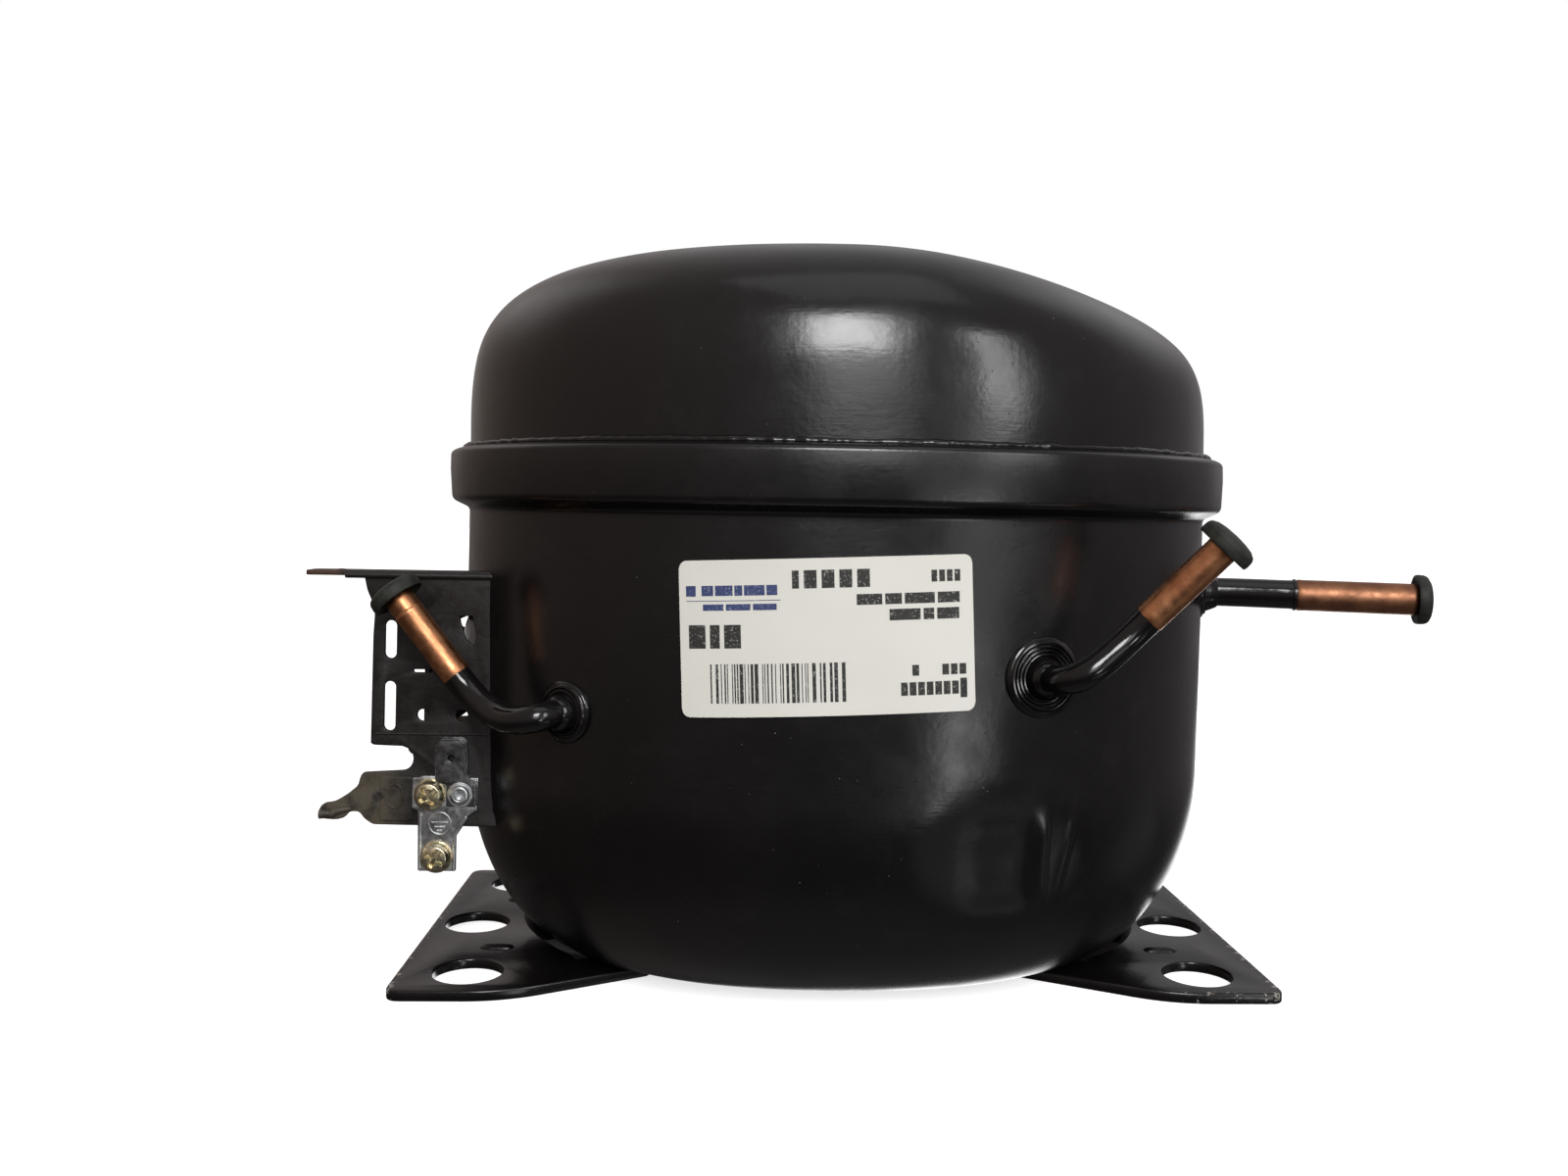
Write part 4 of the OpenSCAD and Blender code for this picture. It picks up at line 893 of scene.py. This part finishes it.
def make_bracket():
    """Two side walls with slots, a base plate round the terminal, and the front wall's top flange."""
    walls = []
    holes = [pill(WALL_X + 4, 79, 2.6, 8.6), pill(WALL_X + 4, 63.9, 2.6, 11.2), pill(-95.5, 71.9, 4.2, 0.7),
             [(-87.6, 84.5), (-84.6, 84.5), (-83.6, 80.0), (-84.2, 77.6), (-86.2, 79.4)],
             circle(-95.3, 61.9, 1.35, 20), circle(-86.6, 61.9, 1.35, 20), circle(-93.2, 44.2, 1.8, 20)]
    for side in (-1, 1):
        outline = corners_rounded(side_outline(), 0.8, 4)
        if side > 0:
            outline = [(x, min(z, BRACKET_TOP - 3.6)) for x, z in side_outline()[1:-1]]
            outline += [(IN_SHELL_X, BRACKET_TOP - 3.6)]
        middle = side * (BRACKET_Y + BRACKET_T / 2)
        walls.append(sheet_metal(outline, holes, BRACKET_T, 0.22, upright_at(middle)))
    flange = [(FLANGE_X, -BRACKET_Y - BRACKET_T), (FLANGE_X, -BRACKET_Y + 5.8),
              (IN_SHELL_X - 2, -BRACKET_Y + 5.8), (IN_SHELL_X, -BRACKET_Y - BRACKET_T)]
    walls.append(sheet_metal(corners_rounded(flange, {0: 0.6, 1: 2.5, None: 0.1}), [], BRACKET_T, 0.3,
                             flat_at(BRACKET_TOP - BRACKET_T / 2)))
    base_holes = [corners_rounded([(-21, 59), (21, 59), (21, 81), (-21, 81)], 4)]
    base_top = BRACKET_TOP - 4.2
    base = [(-BRACKET_Y, 56), (BRACKET_Y, 56), (BRACKET_Y, base_top), (-BRACKET_Y, base_top)]
    swap = Matrix(((0, 0, 1, 0), (1, 0, 0, 0), (0, 1, 0, 0), (0, 0, 0, 1)))
    on_yz = Matrix.Translation((-94.8, 0, 0)) @ swap
    walls.append(sheet_metal(base, base_holes, BRACKET_T, 0.2, on_yz))
    front = -BRACKET_Y - BRACKET_T
    details = bmesh.new()
    fold = [Vector((x, front + 0.12, 57.6)) for x in (WALL_X + 1, -81)]
    swept(details, fold, 0.3, 12)
    top_fold = [Vector((x, front - 0.15, BRACKET_TOP - 1.0)) for x in (FLANGE_X + 9, IN_SHELL_X)]
    swept(details, top_fold, 0.75, 16)
    arm_panel = [(-104.6, 37.9), (-97.2, 37.9), (-97.2, 48.0), (-104.6, 48.0)]
    walls.append(sheet_metal(corners_rounded(arm_panel, 1.0), [], 0.5, 0.2, upright_at(front - 0.1)))
    ring_path = [Vector((-101.2 + 1.9 * math.cos(t), front - 0.4, 43.6 + 2.7 * math.sin(t)))
                 for t in angles(32, closed=True)]
    swept(details, ring_path, 0.22, 10)
    tip = [Vector((WALL_X - 11.2 + 0.9 * k, front - 0.2, 39.4 + 0.16 * k * (k > 3))) for k in range(9)]
    swept(details, tip, lambda u: 1.15 - 0.7 * u, 18)
    bump_at = Vector((FLANGE_X + 7.6, front + 1.4, BRACKET_TOP - 0.1))
    turned(details, bump_at, UP, rounded([(0, -0.5), (1.5, -0.5), (1.1, 0.35), (0, 0.45)], 0.3), 24)
    stand_for("bracket", merged(*walls, details), "bracket", "bracket_paint", "terminal_bracket", sharp=35)


# ---- Earth parts -------------------------------------------------------------------------------

EARTH_Y = -BRACKET_Y - BRACKET_T
EARTH_T = 0.8
SCREW_AT = [(-93.2, 44.2), (-91.5, 30.1)]
EYELET_AT = (-86.3, 44.3)


def make_earth_plate():
    """Zinc plate and strip with rolled side flanges and an embossed ring with plain bars."""
    edge = [(-97.2, 47.9), (-95.6, 47.9), (-95.2, 48.3), (-90.4, 48.3), (-90.0, 47.9), (-82.4, 47.9),
            (-82.6, 40.6), (-84.6, 39.4), (-87.2, 34.9), (-87.2, 26.8), (-95.7, 26.8), (-95.9, 40.4),
            (-97.2, 41.0)]
    outline = corners_rounded(edge, 0.35, 3)
    holes = [circle(x, z, 1.75, 20) for x, z in (*SCREW_AT, EYELET_AT)]
    plate = sheet_metal(outline, holes, EARTH_T, 0.15, upright_at(EARTH_Y - EARTH_T / 2 - 0.05))
    face = EARTH_Y - EARTH_T - 0.05
    bm = bmesh.new()
    swept(bm, [Vector((-95.25, face, z)) for z in (40.0, 34, 27.2)], 0.42, 12)
    swept(bm, [Vector((x, face, z)) for x, z in ((-84.9, 39.0), (-87.5, 34.9), (-87.6, 27.2))], 0.42, 12)
    swept(bm, [Vector((-82.9, face, z)) for z in (47.4, 40.9)], 0.35, 12)
    emblem = Vector((-90.9, face, 37.6))
    ring = [emblem + Vector((2.45 * math.cos(t), -0.05, 2.45 * math.sin(t)))
            for t in angles(48, closed=True)]
    swept(bm, ring, 0.2, 10)
    for half, dz in ((1.9, 0.25), (1.15, -0.75), (0.55, -1.6)):
        swept(bm, [emblem + Vector((x, -0.02, dz)) for x in (-half, half)], 0.2, 10)
    swept(bm, [emblem + Vector((0, -0.02, z)) for z in (0.25, 1.9)], 0.2, 10)
    stand_for("earth_strip", merged(plate, bm), "zinc", "zinc", "earth_plate", sharp=40)


def make_earth_tab():
    """Blade terminal, folded double, with a detent hole and chamfered corners."""
    edge = [(-91.7, 47.0), (-92.1, 55.4), (-90.8, 56.9), (-86.2, 56.9), (-85.3, 55.9), (-85.1, 48.6),
            (-82.9, 46.5), (-82.9, 41.6), (-89.4, 41.6), (-89.4, 46.5)]
    outline = corners_rounded(edge, 0.3, 3)
    holes = [circle(-88.5, 52.5, 0.75, 18), circle(*EYELET_AT, 1.65, 20)]
    face = EARTH_Y - EARTH_T - 0.1
    front = sheet_metal(outline, holes, 0.42, 0.12, upright_at(face - 0.6))
    back = sheet_metal([(x + 0.35, z + (0.35 if z > 50 else 0)) for x, z in outline], holes, 0.38, 0.1,
                       upright_at(face - 0.19))
    bm = bmesh.new()
    for fold in ([(-91.8, 47.6), (-92.0, 55.2), (-90.8, 56.6), (-86.3, 56.6)],
                 [(-85.25, 55.6), (-85.25, 48.8)]):
        swept(bm, [Vector((x, face - 0.75, z)) for x, z in fold], 0.16, 10)
    stand_for("earth_blade", merged(front, back, bm), "dark_zinc", "zinc", "earth_tab", sharp=40)


def make_eyelet():
    """The rolled rivet that holds the blade on the plate."""
    y = EARTH_Y + 0.2
    bm = bmesh.new()
    profile = [(0, 0.8), (1.05, 0.8), (1.05, 2.6), (1.35, 3.0), (1.9, 2.9), (2.15, 2.5), (2.3, 2.1),
               (2.75, 2.15), (2.9, 1.9), (2.9, 0.3), (0, 0.3)]
    centre = Vector((EYELET_AT[0], y, EYELET_AT[1]))
    turned(bm, centre, Vector((0, -1, 0)), rounded(profile, 0.15, 3), 56)
    stand_for("earth_rivet", bm, "zinc", "zinc", "earth_eyelet", sharp=50)


def screw_head(bm, at, turn):
    """Pan head with a washer, a cross recess and a slot across it."""
    steps, rows = 96, 30
    face = EARTH_Y - EARTH_T - 0.1
    centre = Vector((at[0], face, at[1]))
    shank = [(0, -3.8), (1.7, -3.8), (1.7, 0), (3.6, 0), (3.6, 0.5), (0, 0.5)]
    turned(bm, centre, Vector((0, -1, 0)), rounded(shank, 0.15, 3), 64)
    rings = []
    for j in range(rows + 1):
        s = j / rows
        r = 3.3 * s
        ring = []
        for t in angles(steps):
            x, z = r * math.cos(t), r * math.sin(t)
            u, v = (x * math.cos(turn) + z * math.sin(turn), z * math.cos(turn) - x * math.sin(turn))
            cross = max((1 - smooth(0.35, 0.6, abs(u))) * (1 - smooth(1.9, 2.3, abs(v))),
                        (1 - smooth(0.35, 0.6, abs(v))) * (1 - smooth(1.9, 2.3, abs(u))))
            star = (1 - smooth(1.0, 1.5, math.hypot(u, v))) * 0.6
            dome = 2.5 - 0.5 * s ** 2 - 1.3 * smooth(0.78, 1.0, s)
            height = dome - 1.1 * max(cross, star) * (s < 0.95)
            ring.append(centre + Vector((x, -max(height, 0.4), z)))
        rings.append(ring)
    rings.append([centre + Vector((3.35 * math.cos(t), -0.3, 3.35 * math.sin(t))) for t in angles(steps)])
    skin(bm, rings[1:])


def make_screws():
    bm = bmesh.new()
    screw_head(bm, SCREW_AT[0], math.radians(35))
    screw_head(bm, SCREW_AT[1], math.radians(62))
    stand_for("earth_screw_pair", bm, "screw", "screw_zinc", "earth_screws", sharp=35)


# ---- Label ---------------------------------------------------------------------------------------

LABEL_W = 60
LABEL_H = 32
LABEL_X = -6
LABEL_Z = 84.3
LABEL_TILT = math.radians(2.4)
LABEL_GAP = 0.12


def label_point(u, v, out):
    """A point on the label: u and v are millimetres right and up from its middle."""
    x = LABEL_X + u * math.cos(LABEL_TILT) - v * math.sin(LABEL_TILT)
    z = LABEL_Z + u * math.sin(LABEL_TILT) + v * math.cos(LABEL_TILT)
    return Vector((x, wall_y(x, out), z))


def label_patch(bm, u0, v0, u1, v1, low, high, corner=0.0):
    """A closed thin patch that follows the wall, with rounded corners if asked."""
    columns = max(2, int((u1 - u0) / 1.5))
    edge = 8 if corner else 1
    us = sorted({u0 + (u1 - u0) * k / columns for k in range(columns + 1)}
                | {u0 + corner * k / edge for k in range(edge)}
                | {u1 - corner * k / edge for k in range(edge)})
    strips = []
    for u in us:
        near = min(u - u0, u1 - u)
        cut = corner - math.sqrt(max(corner ** 2 - (corner - near) ** 2, 0)) if near < corner else 0.0
        levels = [v0 + cut + (v1 - v0 - 2 * cut) * k / 4 for k in range(5)]
        strips.append([label_point(u, v, high) for v in levels]
                      + [label_point(u, v, low) for v in levels[::-1]])
    skin(bm, strips)


def words(u0, v0, v1, lengths, gap=0.8):
    """A line of plain blocks, as (u0, v0, u1, v1)."""
    made = []
    for length in lengths:
        made.append((u0, v0, u0 + length, v1))
        u0 += length + gap
    return made


def make_label():
    """The film, and plain printed blocks, bars and lines that stand for its text."""
    half_w, half_h = LABEL_W / 2, LABEL_H / 2
    top = LABEL_GAP + 0.25
    film = bmesh.new()
    label_patch(film, -half_w, -half_h, half_w, half_h, 0.02, top, corner=1.8)
    stand_for("label_sheet", film, "film", "label", "rating_label", sharp=40)
    black = words(-7, 9.9, 13.6, [1.4, 2.6, 2.6, 2.6, 2.6], 1.0)
    black += words(21.4, 10.6, 13.0, [1.2] * 4, 0.4)
    black += words(6.0, 6.3, 8.5, [5.2, 3.4, 6.2, 4.6], 0.6)
    black += words(12.6, 3.0, 5.3, [6.4, 2.2, 4.6], 0.6)
    black += words(-28.2, -2.0, 2.8, [3.4, 2.0, 3.4], 0.9)
    black += words(17.0, -8.4, -6.2, [1.4], 0.6) + words(23.2, -8.4, -6.2, [1.4, 1.4, 1.4], 0.4)
    black += words(14.6, -12.4, -9.7, [1.4] * 8, 0.36)
    black.append((26.9, -13.2, 28.3, -9.2))
    u = -24.0
    while u < 3.6:
        width = rng.choice((0.2, 0.2, 0.3, 0.55, 0.75))
        black.append((u, -13.2, u + width, -5.2))
        u += width + rng.choice((0.25, 0.35, 0.5, 0.8))
    blue = [(-28.6, 8.6, -26.6, 10.8), (-28.6, 7.6, -9.4, 7.75)]
    blue += words(-25.4, 8.7, 10.8, [2.4, 3.6, 1.6, 4.2, 2.2], 0.35)
    blue += words(-25.2, 5.7, 7.0, [4.2, 5.0, 4.8], 0.5)
    for name, blocks, look in (("label_print", black, "ink"), ("label_mark", blue, "blue_ink")):
        bm = bmesh.new()
        for block in blocks:
            label_patch(bm, *block, top - 0.02, top + 0.02)
        piece(name, bm, look, "label", "rating_label")


# ---- Build -------------------------------------------------------------------------------------------

make_lower_shell()
make_upper_shell()
make_weld()
make_foot("left_mount_foot", -1)
make_foot("right_mount_foot", 1)
for tube, tube_r, out, back in (("suction", STEEL_SUCTION_R, 12, 8), ("process", STEEL_R, 16, 12),
                                ("discharge", STEEL_R, 14, 16)):
    make_fitting(tube, tube_r)
    make_tube(tube, tube_r, out, back)
    make_stub(tube)
    make_plug(tube)
make_bracket()
make_earth_plate()
make_earth_tab()
make_eyelet()
make_screws()
make_label()


# ---- Stage: floor, light and camera ---------------------------------------------------------------

FLOOR_GLOW = 0.72
LAMP_AIM = Vector((0, -70, 140))
# Soft glows that make the paint's highlights: azimuth, elevation and radius in degrees, and strength
WORLD_GLOWS = [(27, -13, 6, 10.0), (31, -3, 9, 0.9), (30, 6, 10, 1.0), (54, -34, 8, 0.9), (36, -34, 12, 0.25),
               (95, -25, 14, 0.15), (162, -24, 22, 3.2)]


def make_floor():
    bm = bmesh.new()
    bmesh.ops.create_grid(bm, x_segments=1, y_segments=1, size=6.0)
    mesh = bpy.data.meshes.new("floor")
    bm.to_mesh(mesh)
    bm.free()
    g = Graph("floor_paper", rough=0.9, Specular_IOR_Level=0.1)
    g.set("Base Color", g.blend(g.noise(400, 2.0), (0.80, 0.80, 0.80), (0.84, 0.84, 0.84)))
    x, y = g.axis("X"), g.axis("Y")
    away = g.math("SQRT", g.math("ADD", g.math("MULTIPLY", x, x), g.math("MULTIPLY", y, y)))
    g.set("Emission Color", (1.0, 1.0, 1.0))
    g.set("Emission Strength", g.span(away, 0.1, 1.6, FLOOR_GLOW, 1.0))
    mesh.materials.append(g.mat)
    floor = bpy.data.objects.new("floor", mesh)
    floor.visible_glossy = False
    floor.visible_diffuse = False
    bpy.context.scene.collection.objects.link(floor)


def way(azimuth, elevation):
    """Direction from the object, in degrees: azimuth from the front, positive to the right."""
    a, e = math.radians(azimuth), math.radians(elevation)
    return Vector((math.sin(a) * math.cos(e), -math.cos(a) * math.cos(e), math.sin(e)))


def lamp(name, azimuth, elevation, distance, width, height, power):
    """A rectangular soft box aimed at LAMP_AIM; lengths in millimetres and power in watts."""
    data = bpy.data.lights.new(name, "AREA")
    data.shape = "RECTANGLE"
    data.size, data.size_y = width * MM, height * MM
    data.energy = power
    light = bpy.data.objects.new(name, data)
    at = LAMP_AIM + distance * way(azimuth, elevation)
    light.location = at * MM
    light.rotation_euler = (LAMP_AIM - at).to_track_quat("-Z", "Y").to_euler()
    bpy.context.scene.collection.objects.link(light)


def make_world():
    """The room that the gloss reflects: dim, brighter high behind, with pale glows; the camera sees white."""
    world = bpy.data.worlds.new("studio")
    world.use_nodes = True
    bpy.context.scene.world = world
    nodes, links = world.node_tree.nodes, world.node_tree.links
    nodes.clear()
    split = nodes.new("ShaderNodeSeparateXYZ")
    links.new(nodes.new("ShaderNodeTexCoord").outputs["Generated"], split.inputs[0])

    def ramp(axis, stops):
        """Values along an axis of the looking direction, as (position, value)."""
        node = nodes.new("ShaderNodeValToRGB")
        node.color_ramp.interpolation = "EASE"
        while len(node.color_ramp.elements) < len(stops):
            node.color_ramp.elements.new(1.0)
        for element, (place, value) in zip(node.color_ramp.elements, stops):
            element.position = (place + 1) / 2
            element.color = (*(value if isinstance(value, tuple) else (value,) * 3), 1.0)
        place = nodes.new("ShaderNodeMath")
        place.operation = "MULTIPLY_ADD"
        place.inputs[1].default_value = place.inputs[2].default_value = 0.5
        links.new(split.outputs[axis], place.inputs[0])
        links.new(place.outputs[0], node.inputs[0])
        return node.outputs[0]

    def combine(operation, a, b):
        node = nodes.new("ShaderNodeVectorMath")
        node.operation = operation
        links.new(a, node.inputs[0])
        links.new(b, node.inputs[1])
        return node.outputs[0]

    height = ramp("Z", [(-0.9, 0.14), (-0.66, 0.05), (-0.4, 0.05), (-0.1, 0.20), (0.1, 0.33), (0.6, 0.38),
                        (1.0, 0.4)])
    side = ramp("X", [(-1.0, (1.0, 0.80, 0.70)), (-0.4, (1.0, 0.88, 0.84)), (0.1, (1.0, 0.97, 1.0)),
                      (1.0, (1.0, 0.93, 0.97))])
    behind = combine("MULTIPLY", ramp("Y", [(-0.1, 0.0), (0.4, 1.0)]), ramp("Z", [(0.22, 0.0), (0.6, 0.55)]))
    behind = combine("MULTIPLY", behind, ramp("X", [(-0.62, 1.0), (-0.3, 0.08), (0.25, 0.08), (0.6, 1.0)]))
    light = combine("ADD", combine("MULTIPLY", height, side), behind)
    for azimuth, elevation, radius, strength in WORLD_GLOWS:
        dot = nodes.new("ShaderNodeVectorMath")
        dot.operation = "DOT_PRODUCT"
        links.new(nodes.new("ShaderNodeTexCoord").outputs["Generated"], dot.inputs[0])
        dot.inputs[1].default_value = way(azimuth, elevation)
        near = nodes.new("ShaderNodeMapRange")
        near.interpolation_type = "SMOOTHSTEP"
        for k, value in ((1, math.cos(math.radians(radius))), (2, 1.0), (3, 0.0), (4, strength)):
            near.inputs[k].default_value = value
        links.new(dot.outputs["Value"], near.inputs[0])
        light = combine("ADD", light, near.outputs[0])
    room = nodes.new("ShaderNodeBackground")
    links.new(light, room.inputs["Color"])
    white = nodes.new("ShaderNodeBackground")
    white.inputs["Color"].default_value = (1.0, 1.0, 1.0, 1.0)
    pick = nodes.new("ShaderNodeMixShader")
    links.new(nodes.new("ShaderNodeLightPath").outputs["Is Camera Ray"], pick.inputs[0])
    links.new(room.outputs[0], pick.inputs[1])
    links.new(white.outputs[0], pick.inputs[2])
    links.new(pick.outputs[0], nodes.new("ShaderNodeOutputWorld").inputs[0])


def make_camera():
    """Level view from the front, a little above the object's middle, with a one degree lean."""
    data = bpy.data.cameras.new("camera")
    data.sensor_width = 36
    data.lens = 29.32
    data.shift_x, data.shift_y = -0.0044, -0.049
    data.clip_start, data.clip_end = 0.01, 50
    camera = bpy.data.objects.new("camera", data)
    forward = Vector((0.0372, 0.9993, 0)).normalized()
    lean = math.radians(1.01)
    right, up = forward.cross(UP).normalized(), UP
    right, up = math.cos(lean) * right + math.sin(lean) * up, math.cos(lean) * up - math.sin(lean) * right
    turn = Matrix((right, up, -forward)).transposed().to_4x4()
    camera.matrix_world = Matrix.Translation(Vector((-23.54, -331.55, 109.6)) * MM) @ turn
    bpy.context.scene.collection.objects.link(camera)
    bpy.context.scene.camera = camera


make_floor()
make_world()
make_camera()
lamp("main_lamp", 3, 30.5, 1400, 370, 540, 12)
lamp("main_fade", 5, 11, 1400, 400, 400, 1.6)
lamp("second_lamp", 37, 19, 1400, 240, 700, 4.2)
lamp("high_fill", 20, 75, 1500, 900, 900, 1.5)
bpy.context.scene.view_settings.view_transform = "Standard"
